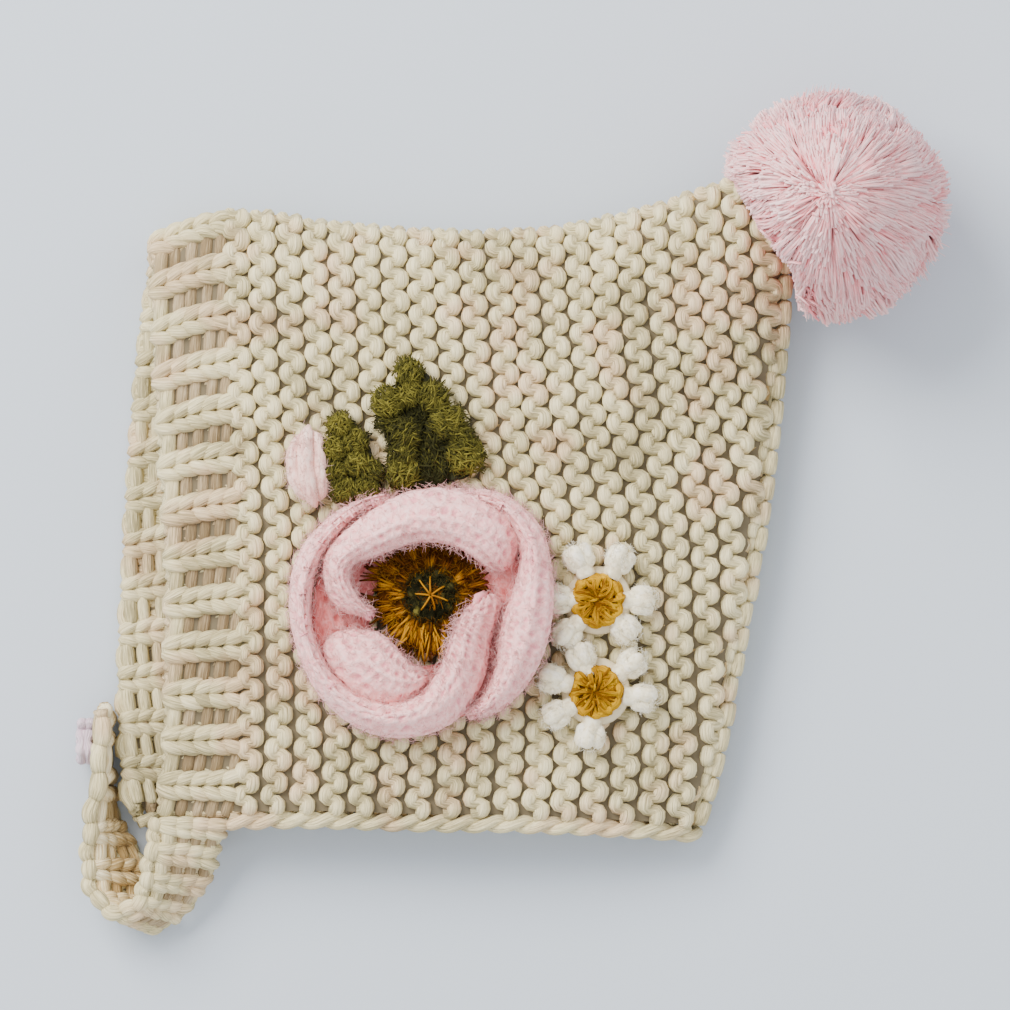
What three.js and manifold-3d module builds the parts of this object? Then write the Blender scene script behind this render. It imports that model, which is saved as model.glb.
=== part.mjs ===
// A knitted baby bonnet lying on its side, crown fold away, neck edge near, face opening to the left.
// Millimetres, +Z up. The origin is on the surface it lies on, under the middle of the whole bonnet.
import * as THREE from 'three';
import { mergeVertices } from 'three/addons/utils/BufferGeometryUtils.js';
import Module from 'manifold-3d';

const wasm = await Module();
wasm.setup();

// Driving dimensions
const WALL = 4; // one layer of garter stitch in this thick yarn
const GAP = 0.3; // left between pieces that touch
const BAND_GAP = 0.7; // left between the ribbed band and the garter stitch
const BRIM_WIDTH = 16.8; // the ribbed band round the face
const RIBS_PER_LAYER = 13; // raised columns of the rib from a neck edge to the crown fold
const RIDGES = 19; // garter ridges from the brim to the back seam
const RIB_RELIEF = 0.7; // how far a rib stands out, and its furrow goes in
const RIDGE_RELIEF = 0.75; // the same for a garter ridge
const CROWN_ROUND = 8; // depth of the soft fold along the crown
const SEAM_ROUND = 5; // depth of the turn at the back seam
const PEAK_RISE = 11; // how far the pompom holds the peak off the surface
const CURL_REACH = 20; // how far in from the face the far corner curls up
const CORD = 3.6; // thickness of the crochet cord along the neck edges
const POMPOM = { x: 77, y: 73.2, radius: 27.4, core: 25.8 };
const ROSE = { x: -21, y: -24 };

// From the crown fold, 0, to the neck edge, 1: where the face edge of each layer and the back seam lie,
// how much of the bonnet's thickness is left there, and how far the far layer's front edge curls up.
const DOWN = [
  { down: 0.0, frontNear: -86.2, frontFar: -86.2, back: 66.4, fill: 0.75, curl: 0 },
  { down: 0.15, frontNear: -85.4, frontFar: -89.0, back: 66.3, fill: 0.95, curl: 0 },
  { down: 0.35, frontNear: -84.2, frontFar: -91.6, back: 64.2, fill: 1.0, curl: 0 },
  { down: 0.55, frontNear: -82.4, frontFar: -93.2, back: 60.2, fill: 1.04, curl: 0.4 },
  { down: 0.75, frontNear: -82.6, frontFar: -94.4, back: 54.3, fill: 1.0, curl: 2.5 },
  { down: 0.9, frontNear: -83.0, frontFar: -94.0, back: 50.0, fill: 0.9, curl: 6.5 },
  { down: 1.0, frontNear: -84.6, frontFar: -92.6, back: 45.2, fill: 0.82, curl: 8.5 },
];

// From the face edge, 0, to the back seam, 1: the crown fold and the neck edge, and half the distance
// between the middles of the two layers.
const ALONG = [
  { along: 0.0, crown: 65.1, neck: -71.4, half: 7.8 },
  { along: 0.08, crown: 69.9, neck: -71.8, half: 8.2 },
  { along: 0.16, crown: 70.8, neck: -71.6, half: 8.6 },
  { along: 0.3, crown: 67.6, neck: -71.4, half: 9.0 },
  { along: 0.5, crown: 65.8, neck: -72.2, half: 9.2 },
  { along: 0.65, crown: 67.1, neck: -72.4, half: 9.0 },
  { along: 0.8, crown: 72.3, neck: -73.2, half: 8.0 },
  { along: 0.92, crown: 78.8, neck: -74.2, half: 6.2 },
  { along: 1.0, crown: 81.2, neck: -75.0, half: 4.6 },
];

// ---- Small tools -----------------------------------------------------------------------------------

const clamp = (value) => Math.min(1, Math.max(0, value));
const smooth = (value) => clamp(value) ** 2 * (3 - 2 * clamp(value));
const mix = (a, b, share) => a + (b - a) * share;
const radians = THREE.MathUtils.degToRad;

// A quarter ellipse: 0 at an edge, 1 from one radius inwards.
const rounded = (share) => Math.sqrt(Math.max(0, 1 - (1 - clamp(share)) ** 2));

// One row of a table at any place between its rows, each column blended by a smooth cubic.
function rowAt(table, key, place) {
  const last = table.length - 1;
  let i = 0;
  while (i < last - 1 && place > table[i + 1][key]) i += 1;
  const [a, b, c, d] = [table[Math.max(i - 1, 0)], table[i], table[i + 1], table[Math.min(i + 2, last)]];
  const span = c[key] - b[key];
  const u = clamp((place - b[key]) / span);
  const row = {};
  for (const column of Object.keys(b)) {
    const slopeIn = ((c[column] - a[column]) / (c[key] - a[key])) * span;
    const slopeOut = ((d[column] - b[column]) / (d[key] - b[key])) * span;
    row[column] = b[column] * (2 * u ** 3 - 3 * u ** 2 + 1) + slopeIn * (u ** 3 - 2 * u ** 2 + u)
      + c[column] * (3 * u ** 2 - 2 * u ** 3) + slopeOut * (u ** 3 - u ** 2);
  }
  return row;
}

// A closed geometry from loose triangles: shared corners merged, slivers dropped, faces outwards.
function closedGeometry(triangles) {
  const key = (p) => `${p.x.toFixed(3)},${p.y.toFixed(3)},${p.z.toFixed(3)}`;
  const kept = triangles.filter(([a, b, c]) => new Set([key(a), key(b), key(c)]).size === 3);
  const volume = kept.reduce((sum, [a, b, c]) => sum + a.dot(b.clone().cross(c)), 0);
  const corners = kept.flatMap(([a, b, c]) => (volume > 0 ? [a, b, c] : [a, c, b]));
  const geometry = new THREE.BufferGeometry();
  geometry.setAttribute('position', new THREE.Float32BufferAttribute(corners.flatMap((p) => p.toArray()), 3));
  return mergeVertices(geometry, 1e-3);
}

// Two triangles for four corners, split along one diagonal or, in the other half of a grid, the other.
const splitQuad = (a, b, c, d, flipped) => (flipped ? [[b, c, d], [b, d, a]] : [[a, b, c], [a, c, d]]);

// A wall between two grids of points, outer and inner, closed along its rims. With sewn, the last row
// of each grid folds onto itself, as a seam does, and has no rim.
function wallBetween(outer, inner, sewn = false) {
  const triangles = [];
  const quad = (a, b, c, d, flipped = false) => triangles.push(...splitQuad(a, b, c, d, flipped));
  const rows = outer.length - 1;
  const columns = outer[0].length - 1;
  for (let i = 0; i < rows; i += 1) {
    for (let j = 0; j < columns; j += 1) {
      const flipped = j >= columns / 2;
      quad(outer[i][j], outer[i + 1][j], outer[i + 1][j + 1], outer[i][j + 1], flipped);
      quad(inner[i][j], inner[i][j + 1], inner[i + 1][j + 1], inner[i + 1][j], flipped);
    }
    quad(outer[i][0], inner[i][0], inner[i + 1][0], outer[i + 1][0]);
    quad(outer[i][columns], outer[i + 1][columns], inner[i + 1][columns], inner[i][columns]);
  }
  for (let j = 0; j < columns; j += 1) {
    quad(outer[0][j], outer[0][j + 1], inner[0][j + 1], inner[0][j]);
    if (!sewn) quad(outer[rows][j], inner[rows][j], inner[rows][j + 1], outer[rows][j + 1]);
  }
  return closedGeometry(triangles);
}

// A rod through closed rings of points, capped at both ends.
function rodThrough(rings) {
  const triangles = [];
  const sides = rings[0].length;
  const middle = (ring) => ring.reduce((sum, p) => sum.add(p), new THREE.Vector3()).divideScalar(sides);
  const [first, last] = [middle(rings[0]), middle(rings.at(-1))];
  for (let k = 0; k < sides; k += 1) {
    const next = (k + 1) % sides;
    for (let i = 0; i < rings.length - 1; i += 1) {
      triangles.push([rings[i][k], rings[i][next], rings[i + 1][next]]);
      triangles.push([rings[i][k], rings[i + 1][next], rings[i + 1][k]]);
    }
    triangles.push([first, rings[0][next], rings[0][k]]);
    triangles.push([last, rings.at(-1)[k], rings.at(-1)[next]]);
  }
  return closedGeometry(triangles);
}

// Booleans: a three.js geometry to a manifold solid, and back.
function toSolid(geometry) {
  const bare = geometry.clone();
  bare.deleteAttribute('normal');
  bare.deleteAttribute('uv');
  const merged = mergeVertices(bare, 1e-3);
  const vertProperties = new Float32Array(merged.attributes.position.array);
  const triVerts = new Uint32Array(merged.index.array);
  return new wasm.Manifold(new wasm.Mesh({ numProp: 3, vertProperties, triVerts }));
}

function toGeometry(solid) {
  const mesh = solid.getMesh();
  const geometry = new THREE.BufferGeometry();
  geometry.setAttribute('position', new THREE.BufferAttribute(mesh.vertProperties, 3));
  geometry.setIndex(new THREE.BufferAttribute(mesh.triVerts, 1));
  return geometry;
}

const group = new THREE.Group();
const knitMaterial = { color: 0xd8d0bc, roughness: 0.95, metalness: 0 };
const pinkMaterial = { color: 0xeec6cc, roughness: 0.95, metalness: 0 };
const ochreMaterial = { color: 0xb67a12, roughness: 0.95, metalness: 0 };
const whiteMaterial = { color: 0xeeebe4, roughness: 0.95, metalness: 0 };
const oliveMaterial = { color: 0x5d6a26, roughness: 0.95, metalness: 0 };

function addPiece(name, geometry, finish) {
  const mesh = new THREE.Mesh(geometry, new THREE.MeshStandardMaterial(finish));
  mesh.name = name;
  group.add(mesh);
  return mesh;
}

// ---- The cloth of the bonnet -----------------------------------------------------------------------

// The middle of the knitted wall. The near layer is +1 and the far layer, on the surface, -1.
function clothMiddle(along, down, layer) {
  const edge = rowAt(DOWN, 'down', down);
  const line = rowAt(ALONG, 'along', along);
  const front = layer > 0 ? edge.frontNear : edge.frontFar;
  const x = mix(front, edge.back, along);
  const y = mix(line.crown, line.neck, down);
  const turn = rounded((line.crown - y) / CROWN_ROUND) * rounded((edge.back - x) / SEAM_ROUND);
  const half = line.half * edge.fill;
  const rise = PEAK_RISE * smooth((along - 0.66) / 0.34) * smooth((0.4 - down) / 0.4);
  const curl = layer < 0 ? edge.curl * (1 - clamp((x - front) / CURL_REACH)) ** 2 : 0;
  return new THREE.Vector3(x, y, WALL / 2 + rise + curl + half * (1 + layer * turn));
}

// One layer's section at a place along the bonnet, from crown to neck, with its running length.
const SECTION_STEPS = 40;
const sections = new Map();
function layerSection(along, layer) {
  const key = `${along.toFixed(6)} ${layer}`;
  if (!sections.has(key)) {
    const points = [];
    let length = 0;
    for (let i = 0; i <= SECTION_STEPS; i += 1) {
      const point = clothMiddle(along, (i / SECTION_STEPS) ** 2, layer);
      if (i > 0) length += point.distanceTo(points[i - 1].point);
      points.push({ point, length });
    }
    sections.set(key, points);
  }
  return sections.get(key);
}

// around runs from the near neck edge, -1, over the crown fold, 0, to the far neck edge, 1.
function clothPoint(along, around) {
  const points = layerSection(along, around <= 0 ? 1 : -1);
  const wanted = Math.abs(around) * points.at(-1).length;
  let i = 0;
  while (i < SECTION_STEPS - 1 && points[i + 1].length < wanted) i += 1;
  const [a, b] = [points[i], points[i + 1]];
  return a.point.clone().lerp(b.point, (wanted - a.length) / (b.length - a.length));
}

const STEP = 0.004;
function clothNormal(along, around) {
  if (along > 1 - STEP) {
    const [a, b] = [clothPoint(1, Math.abs(around) * (1 - STEP)), clothPoint(1, Math.abs(around) + STEP)];
    const sideways = new THREE.Vector3(a.y - b.y, b.x - a.x, 0).normalize();
    const upwards = new THREE.Vector3(0, 1, 0).multiplyScalar(1 - smooth(Math.abs(around) / 0.06));
    return sideways.add(upwards).normalize();
  }
  const fore = clothPoint(Math.min(1, along + STEP), around).sub(clothPoint(Math.max(0, along - STEP), around));
  if (Math.abs(around) < STEP) return new THREE.Vector3(-fore.y, fore.x, 0).normalize();
  const side = clothPoint(along, Math.min(1, around + STEP)).sub(clothPoint(along, Math.max(-1, around - STEP)));
  return fore.cross(side).normalize();
}

// A point on the outer face, or on the inner face with side -1, stood out by the relief. Where the two
// layers come together, at the fold and the seam, the inner face keeps inside the turn.
function facePoint(along, around, side, relief) {
  const middle = clothPoint(along, around);
  const apart = clothPoint(along, -Math.abs(around)).z - clothPoint(along, Math.abs(around)).z;
  const depth = side > 0 ? WALL / 2 + relief : Math.min(WALL / 2 + relief, 0.3 * apart);
  return middle.addScaledVector(clothNormal(along, around), side * depth);
}

// How far along the brim's inner edge lies, at a place around.
function brimEnd(around) {
  const edge = rowAt(DOWN, 'down', Math.abs(around));
  return BRIM_WIDTH / (edge.back - (around <= 0 ? edge.frontNear : edge.frontFar));
}

// The far layer's outer face is pressed flat by lying on the surface.
const pressed = (around) => 1 - smooth(around / 0.06);

// ---- Body: garter stitch, one square folded at the crown and sewn up the back ------------------------

const BODY_AROUND = [0, 0.014, 0.032, 0.056, 0.09, 0.15, 0.25, 0.4, 0.58, 0.78, 1];
const bodyAround = [...BODY_AROUND.slice(1).map((place) => -place).reverse(), ...BODY_AROUND];

function bodyFaces() {
  const steps = 2 * RIDGES;
  const last = [0.35, 0.72, 1]; // the last half ridge turns into the seam in three steps
  const shares = Array.from({ length: steps }, (_, i) => i / steps);
  shares.push(...last.map((part) => (steps - 1 + part) / steps));
  const [outer, inner] = [[], []];
  shares.forEach((share, i) => {
    const crest = i < steps - 2 ? (i % 2 ? 1 : -1) : 0;
    outer.push([]);
    inner.push([]);
    for (const around of bodyAround) {
      const start = brimEnd(around) * (1 + BAND_GAP / BRIM_WIDTH);
      const along = mix(start, 1, share);
      outer[i].push(facePoint(along, around, 1, RIDGE_RELIEF * crest * pressed(around)));
      inner[i].push(facePoint(along, around, -1, 0));
    }
  });
  return { outer, inner };
}

const bodyGrids = bodyFaces();
addPiece('body', wallBetween(bodyGrids.outer, bodyGrids.inner, true), knitMaterial);

// ---- Brim: knit-one purl-one rib round the face -------------------------------------------------------

function brimGeometry() {
  const profile = [[0.08, 1], [0.56, 1], [0.68, -1], [0.96, -1]]; // share of a rib's pitch, in or out
  const places = [{ around: -1, out: 0 }];
  for (let rib = -RIBS_PER_LAYER; rib < RIBS_PER_LAYER; rib += 1) {
    for (const [part, out] of profile) places.push({ around: (rib + part) / RIBS_PER_LAYER, out });
  }
  places.push({ around: 1, out: 0 });
  const [outer, inner] = [[], []];
  for (const share of [0, 0.5, 1]) {
    outer.push(places.map(({ around, out }) => facePoint(
      share * brimEnd(around), around, 1, RIB_RELIEF * out * pressed(around),
    )));
    inner.push(places.map(({ around, out }) => facePoint(
      share * brimEnd(around), around, -1, RIB_RELIEF * out,
    )));
  }
  return wallBetween(outer, inner);
}

addPiece('brim', brimGeometry(), knitMaterial);

// ---- Neck edging: one crochet cord along the near neck edge, round the back and along the far edge ----

function cordGeometry() {
  const stitchesPerSide = 17;
  const sides = 6;
  const places = [];
  const start = 0.135;
  for (let i = 0; i <= 2 * stitchesPerSide; i += 1) {
    places.push({ along: mix(start, 0.985, i / (2 * stitchesPerSide)), around: -1 });
  }
  places.push({ along: 1, around: 1 });
  for (let i = 2 * stitchesPerSide; i >= 0; i -= 1) {
    places.push({ along: mix(0.02, 0.985, i / (2 * stitchesPerSide)), around: 1 });
  }
  const centres = places.map(({ along, around }) => {
    const edge = clothPoint(along, around);
    const away = edge.clone().sub(clothPoint(along, around * 0.98)).normalize();
    const centre = edge.addScaledVector(away, GAP + CORD / 2 + 0.15);
    centre.z = Math.max(centre.z, CORD / 2 + 0.15);
    return centre;
  });
  const rings = centres.map((centre, i) => {
    const ahead = centres[Math.min(i + 1, centres.length - 1)].clone();
    const run = ahead.sub(centres[Math.max(i - 1, 0)]).normalize();
    const out = new THREE.Vector3(0, -1, 0).cross(run).cross(run).normalize();
    const up = run.clone().cross(out);
    const radius = CORD / 2 + (i % 2 ? 0.12 : -0.18);
    return Array.from({ length: sides }, (_, k) => {
      const turn = (2 * Math.PI * (k + 0.5)) / sides;
      return centre.clone().addScaledVector(out, radius * Math.cos(turn)).addScaledVector(up, radius * Math.sin(turn));
    });
  });
  return rodThrough(rings);
}

addPiece('neck_edging', cordGeometry(), knitMaterial);

// ---- Chin strap: the rib carried on as a loose band that turns back to the far corner ------------------

const STRAP_WALL = 3.6;
const STRAP_RIBS = 9;

// The band's two edges: front is the face edge, rear is the edge with the cord.
const STRAP = [
  { run: 0.0, frontX: -84.6, frontY: -73.8, frontZ: 14.6, rearX: -69.4, rearY: -74.6, rearZ: 14.9 },
  { run: 0.08, frontX: -85.2, frontY: -78.0, frontZ: 15.2, rearX: -71.4, rearY: -79.4, rearZ: 11.6 },
  { run: 0.18, frontX: -86.6, frontY: -84.6, frontZ: 15.2, rearX: -73.0, rearY: -86.0, rearZ: 8.0 },
  { run: 0.28, frontX: -87.6, frontY: -90.0, frontZ: 14.4, rearX: -76.2, rearY: -91.6, rearZ: 5.6 },
  { run: 0.38, frontX: -90.0, frontY: -94.4, frontZ: 13.6, rearX: -81.6, rearY: -97.4, rearZ: 3.8 },
  { run: 0.46, frontX: -95.4, frontY: -95.6, frontZ: 12.6, rearX: -86.8, rearY: -99.0, rearZ: 2.8 },
  { run: 0.55, frontX: -100.2, frontY: -91.0, frontZ: 11.6, rearX: -87.8, rearY: -93.4, rearZ: 2.6 },
  { run: 0.65, frontX: -101.2, frontY: -83.8, frontZ: 11.8, rearX: -89.0, rearY: -85.0, rearZ: 2.4 },
  { run: 0.77, frontX: -100.6, frontY: -74.0, frontZ: 14.0, rearX: -95.2, rearY: -74.4, rearZ: 2.0 },
  { run: 0.88, frontX: -98.4, frontY: -62.0, frontZ: 15.0, rearX: -97.2, rearY: -61.6, rearZ: 1.8 },
  { run: 1.0, frontX: -97.9, frontY: -47.4, frontZ: 15.2, rearX: -97.7, rearY: -47.0, rearZ: 2.0 },
];

function strapGeometry() {
  const profile = [[0.1, 1], [0.55, 1], [0.68, -1], [0.95, -1]];
  const places = [{ run: 0, out: 0 }];
  for (let rib = 0; rib < STRAP_RIBS; rib += 1) {
    for (const [part, out] of profile) places.push({ run: (rib + part) / STRAP_RIBS, out });
  }
  places.push({ run: 1, out: 0 });
  const edges = (run) => {
    const row = rowAt(STRAP, 'run', run);
    return {
      front: new THREE.Vector3(row.frontX, row.frontY, row.frontZ),
      rear: new THREE.Vector3(row.rearX, row.rearY, row.rearZ),
    };
  };
  const [outer, inner] = [[], []];
  for (const { run, out } of places) {
    const { front, rear } = edges(run);
    const [before, after] = [edges(Math.max(0, run - 0.01)), edges(Math.min(1, run + 0.01))];
    const forward = after.front.add(after.rear).sub(before.front).sub(before.rear);
    const across = rear.clone().sub(front);
    const normal = forward.cross(across).normalize();
    const depth = STRAP_WALL / 2 + 0.5 * RIB_RELIEF * out;
    outer.push([0, 0.5, 1].map((share) => front.clone().lerp(rear, share).addScaledVector(normal, depth)));
    inner.push([0, 0.5, 1].map((share) => front.clone().lerp(rear, share).addScaledVector(normal, -depth)));
  }
  return wallBetween(outer, inner);
}

addPiece('chin_strap', strapGeometry(), knitMaterial);

// ---- Strap button: a soft round button standing on its edge outside the strap's end --------------------

const BUTTON = { radius: 6.9, thickness: 3.4, x: -102.1, y: -55.4, z: 7.4 };

function buttonGeometry() {
  const half = BUTTON.thickness / 2;
  const rim = BUTTON.radius;
  const profile = [[0, -half], [rim - 1.2, -half], [rim, -half + 1], [rim, half - 1], [rim - 1.2, half], [0, half]];
  return new THREE.LatheGeometry(profile.map(([radius, height]) => new THREE.Vector2(radius, height)), 16);
}

const button = addPiece('strap_button', buttonGeometry(), { color: 0xe3cfd9, roughness: 0.9, metalness: 0 });
button.rotation.z = Math.PI / 2;
button.position.set(BUTTON.x, BUTTON.y, BUTTON.z);

// ---- Pompom: yarn ends trimmed to a ball, as locks on a core, with the peak of the bonnet let into it ----

function pompomGeometry() {
  const ball = mergeVertices(stripped(new THREE.IcosahedronGeometry(1, 3)), 1e-3);
  const corners = Array.from({ length: ball.attributes.position.count }, (_, i) => (
    new THREE.Vector3().fromBufferAttribute(ball.attributes.position, i).normalize()
  ));
  const triangles = [];
  for (let i = 0; i < ball.index.count; i += 3) {
    const [a, b, c] = [0, 1, 2].map((k) => corners[ball.index.getX(i + k)]);
    const tip = a.clone().add(b).add(c).normalize().multiplyScalar(POMPOM.radius);
    const [p, q, r] = [a, b, c].map((corner) => corner.clone().multiplyScalar(POMPOM.core));
    triangles.push([p, q, tip], [q, r, tip], [r, p, tip]);
  }
  const locks = closedGeometry(triangles);
  locks.translate(POMPOM.x, POMPOM.y, POMPOM.radius);
  return toGeometry(toSolid(locks).subtract(toSolid(peakCutter())));
}

function stripped(geometry) {
  geometry.deleteAttribute('normal');
  geometry.deleteAttribute('uv');
  return geometry;
}

// The peak of the bonnet as a solid block a gap larger all round, closed off deep inside the body.
function peakCutter() {
  const reach = 0.42;
  const half = [0.014, 0.032, 0.056, 0.09, 0.15, 0.24, reach];
  const places = [...half.map((place) => -place).reverse(), 0, ...half];
  const alongs = [0.66, 0.74, 0.82, 0.88, 0.93, 0.96, 0.98, 0.992, 1];
  const grid = alongs.map((along) => places.map((around) => (
    facePoint(along, around, 1, RIDGE_RELIEF + 2 * GAP)
  )));
  const triangles = [];
  const quad = (a, b, c, d, flipped = false) => triangles.push(...splitQuad(a, b, c, d, flipped));
  for (let i = 0; i < alongs.length - 1; i += 1) {
    for (let j = 0; j < places.length - 1; j += 1) {
      quad(grid[i][j], grid[i + 1][j], grid[i + 1][j + 1], grid[i][j + 1], places[j] >= 0);
    }
  }
  const near = grid.map((row) => row[0]);
  const far = grid.map((row) => row.at(-1));
  for (let i = 0; i < alongs.length - 1; i += 1) quad(near[i], far[i], far[i + 1], near[i + 1]);
  const front = grid[0];
  const last = places.length - 1;
  for (let j = 0; j < last / 2; j += 1) {
    quad(front[j], front[j + 1], front[last - j - 1], front[last - j]);
  }
  return closedGeometry(triangles);
}

addPiece('pompom', pompomGeometry(), { color: 0xf0c3cf, roughness: 1, metalness: 0 });

// ---- On the cloth --------------------------------------------------------------------------------------

// Height of the near layer's outer face over a point of the plan.
function clothTop(x, y) {
  let [along, down] = [0.5, 0.5];
  for (let i = 0; i < 12; i += 1) {
    const edge = rowAt(DOWN, 'down', down);
    const line = rowAt(ALONG, 'along', along);
    along = clamp((x - edge.frontNear) / (edge.back - edge.frontNear));
    down = clamp((line.crown - y) / (line.crown - line.neck));
  }
  return clothMiddle(along, down, 1).z + WALL / 2 + RIDGE_RELIEF;
}

// ---- Rose petals: crocheted bands that rise from the middle, roll over and lie on one another ------------

const PETAL_WALL = 2.8;

// Each row is a place round the rose: the plan reach of the band's inner and outer edges and the
// heights of its foot, its rolled crest and its outer lip over the cloth.
const PETALS = {
  rose_petal_upper: [
    { turn: 28, inner: 18.6, outer: 24.4, foot: 6, crest: 9.5, lip: 0.4 },
    { turn: 45, inner: 17.6, outer: 28.6, foot: 7.5, crest: 13.5, lip: 0.4 },
    { turn: 66, inner: 16.8, outer: 29.6, foot: 7.5, crest: 15, lip: 0.4 },
    { turn: 88, inner: 16.6, outer: 29.4, foot: 7.5, crest: 15.5, lip: 0.4 },
    { turn: 108, inner: 16.2, outer: 28.0, foot: 7.5, crest: 15.5, lip: 0.4 },
    { turn: 128, inner: 16.4, outer: 26.8, foot: 7.5, crest: 15, lip: 0.4 },
    { turn: 148, inner: 17.0, outer: 26.4, foot: 7.5, crest: 14, lip: 0.4 },
    { turn: 166, inner: 15.0, outer: 22.6, foot: 7.5, crest: 12.5, lip: 0.4 },
    { turn: 182, inner: 10.5, outer: 17.5, foot: 7.5, crest: 11, lip: 0.4 },
  ],
  rose_petal_right: [
    { turn: 72, inner: 30.9, outer: 33.4, foot: 2, crest: 7, lip: 0.4 },
    { turn: 55, inner: 31.0, outer: 35.0, foot: 2, crest: 9, lip: 0.4 },
    { turn: 36, inner: 28.6, outer: 34.8, foot: 2, crest: 11.5, lip: 0.4 },
    { turn: 18, inner: 23.6, outer: 32.4, foot: 2, crest: 13.5, lip: 3.0 },
    { turn: 0, inner: 20.0, outer: 30.8, foot: 2, crest: 14.5, lip: 6.6 },
    { turn: -18, inner: 19.6, outer: 30.2, foot: 2, crest: 14.5, lip: 6.6 },
    { turn: -36, inner: 21.8, outer: 30.0, foot: 2, crest: 13, lip: 2.5 },
    { turn: -54, inner: 24.8, outer: 29.8, foot: 2, crest: 10, lip: 0.4 },
    { turn: -66, inner: 26.2, outer: 28.8, foot: 2, crest: 7, lip: 0.4 },
  ],
  rose_petal_lower: [
    { turn: 16, inner: 14.6, outer: 19.0, foot: 8, crest: 9.5, lip: 0.4 },
    { turn: -4, inner: 11.4, outer: 18.2, foot: 8, crest: 12, lip: 0.4 },
    { turn: -24, inner: 10.6, outer: 17.8, foot: 8, crest: 13, lip: 0.4 },
    { turn: -46, inner: 12.4, outer: 19.8, foot: 8, crest: 13, lip: 0.4 },
    { turn: -68, inner: 16.4, outer: 24.6, foot: 5, crest: 12.5, lip: 0.4 },
    { turn: -90, inner: 21.0, outer: 28.4, foot: 3, crest: 12, lip: 0.4 },
    { turn: -112, inner: 24.0, outer: 30.8, foot: 3, crest: 12, lip: 0.4 },
    { turn: -136, inner: 25.6, outer: 31.2, foot: 3, crest: 12, lip: 0.4 },
    { turn: -160, inner: 26.0, outer: 30.8, foot: 3, crest: 12, lip: 0.4 },
    { turn: -184, inner: 26.6, outer: 31.6, foot: 3, crest: 12, lip: 0.4 },
    { turn: -206, inner: 27.4, outer: 32.6, foot: 3, crest: 11, lip: 0.4 },
    { turn: -226, inner: 27.6, outer: 31.8, foot: 3, crest: 9.5, lip: 0.4 },
    { turn: -240, inner: 28.6, outer: 31.2, foot: 2, crest: 7.5, lip: 0.4 },
  ],
  rose_petal_inner: [
    { turn: -84, inner: 13.6, outer: 19.2, foot: 5, crest: 9, lip: 0.4 },
    { turn: -100, inner: 12.8, outer: 21.8, foot: 5, crest: 11, lip: 0.4 },
    { turn: -118, inner: 11.8, outer: 23.8, foot: 5, crest: 12, lip: 0.4 },
    { turn: -138, inner: 11.8, outer: 25.0, foot: 5, crest: 12, lip: 0.4 },
    { turn: -156, inner: 13.0, outer: 25.2, foot: 5, crest: 11, lip: 0.4 },
    { turn: -168, inner: 16.4, outer: 24.2, foot: 5, crest: 9, lip: 0.4 },
  ],
};

// The inner face of a band is its outer face drawn in towards the middle of the arch, so that a tight
// roll comes out nearly solid and a wide one hollow.
function petalGeometry(rows) {
  const bendSteps = 6;
  const stations = 1.5 * rows.length;
  const [outer, inner] = [[], []];
  const numbered = rows.map((row, i) => ({ ...row, run: i / (rows.length - 1) }));
  for (let i = 0; i <= stations; i += 1) {
    const row = rowAt(numbered, 'run', i / stations);
    const out = new THREE.Vector3(Math.cos(radians(row.turn)), Math.sin(radians(row.turn)), 0);
    const place = (share, height) => {
      const point = new THREE.Vector3(ROSE.x, ROSE.y, 0).addScaledVector(out, mix(row.inner, row.outer, share));
      point.z = clothTop(point.x, point.y) + GAP + height;
      return point;
    };
    const curve = new THREE.CatmullRomCurve3([
      place(0.04, row.foot), place(0, mix(row.foot, row.crest, 0.5)), place(0.46, row.crest),
      place(1, mix(row.crest, row.lip, 0.5)), place(0.94, row.lip),
    ]);
    const core = place(0.5, Math.max(row.foot, row.lip));
    const [outerRow, innerRow] = [[], []];
    for (let k = 0; k <= bendSteps; k += 1) {
      const point = curve.getPoint(k / bendSteps);
      const kept = Math.max(0.3, 1 - PETAL_WALL / point.distanceTo(core));
      outerRow.push(point);
      innerRow.push(core.clone().lerp(point, kept));
    }
    outer.push(outerRow);
    inner.push(innerRow);
  }
  return wallBetween(outer, inner);
}

for (const [name, rows] of Object.entries(PETALS)) addPiece(name, petalGeometry(rows), pinkMaterial);

// ---- Crochet rounds: puffed discs for the rose's middle, its eye and the daisies' middles ----------------

// A low dome of crochet, flat underneath, whose underside keeps a gap over the cloth.
function domeGeometry({ radius, height, rounds = 18 }) {
  const profile = [[0, 0], [radius * 0.9, 0], [radius, height * 0.35], [radius * 0.86, height * 0.8],
    [radius * 0.5, height], [0, height]];
  const geometry = new THREE.LatheGeometry(profile.map(([r, h]) => new THREE.Vector2(r, h)), rounds);
  geometry.rotateX(Math.PI / 2);
  return mergeVertices(stripped(geometry), 1e-3);
}

const ROSE_CENTER = { x: -18.9, y: -19.6, radius: 13.2, height: 4.4 };
const roseFloor = clothTop(ROSE_CENTER.x, ROSE_CENTER.y) + GAP;
const center = addPiece('rose_center', domeGeometry(ROSE_CENTER), ochreMaterial);
center.position.set(ROSE_CENTER.x, ROSE_CENTER.y, roseFloor + 0.4);

const eye = addPiece('rose_eye', domeGeometry({ radius: 6.2, height: 2.2, rounds: 14 }), { ...oliveMaterial, color: 0x3a3a1e });
eye.position.set(ROSE_CENTER.x, ROSE_CENTER.y, roseFloor + 0.4 + ROSE_CENTER.height + 0.1);

// ---- Leaves: crocheted ovals with scalloped edges, laid on the cloth --------------------------------------

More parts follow.
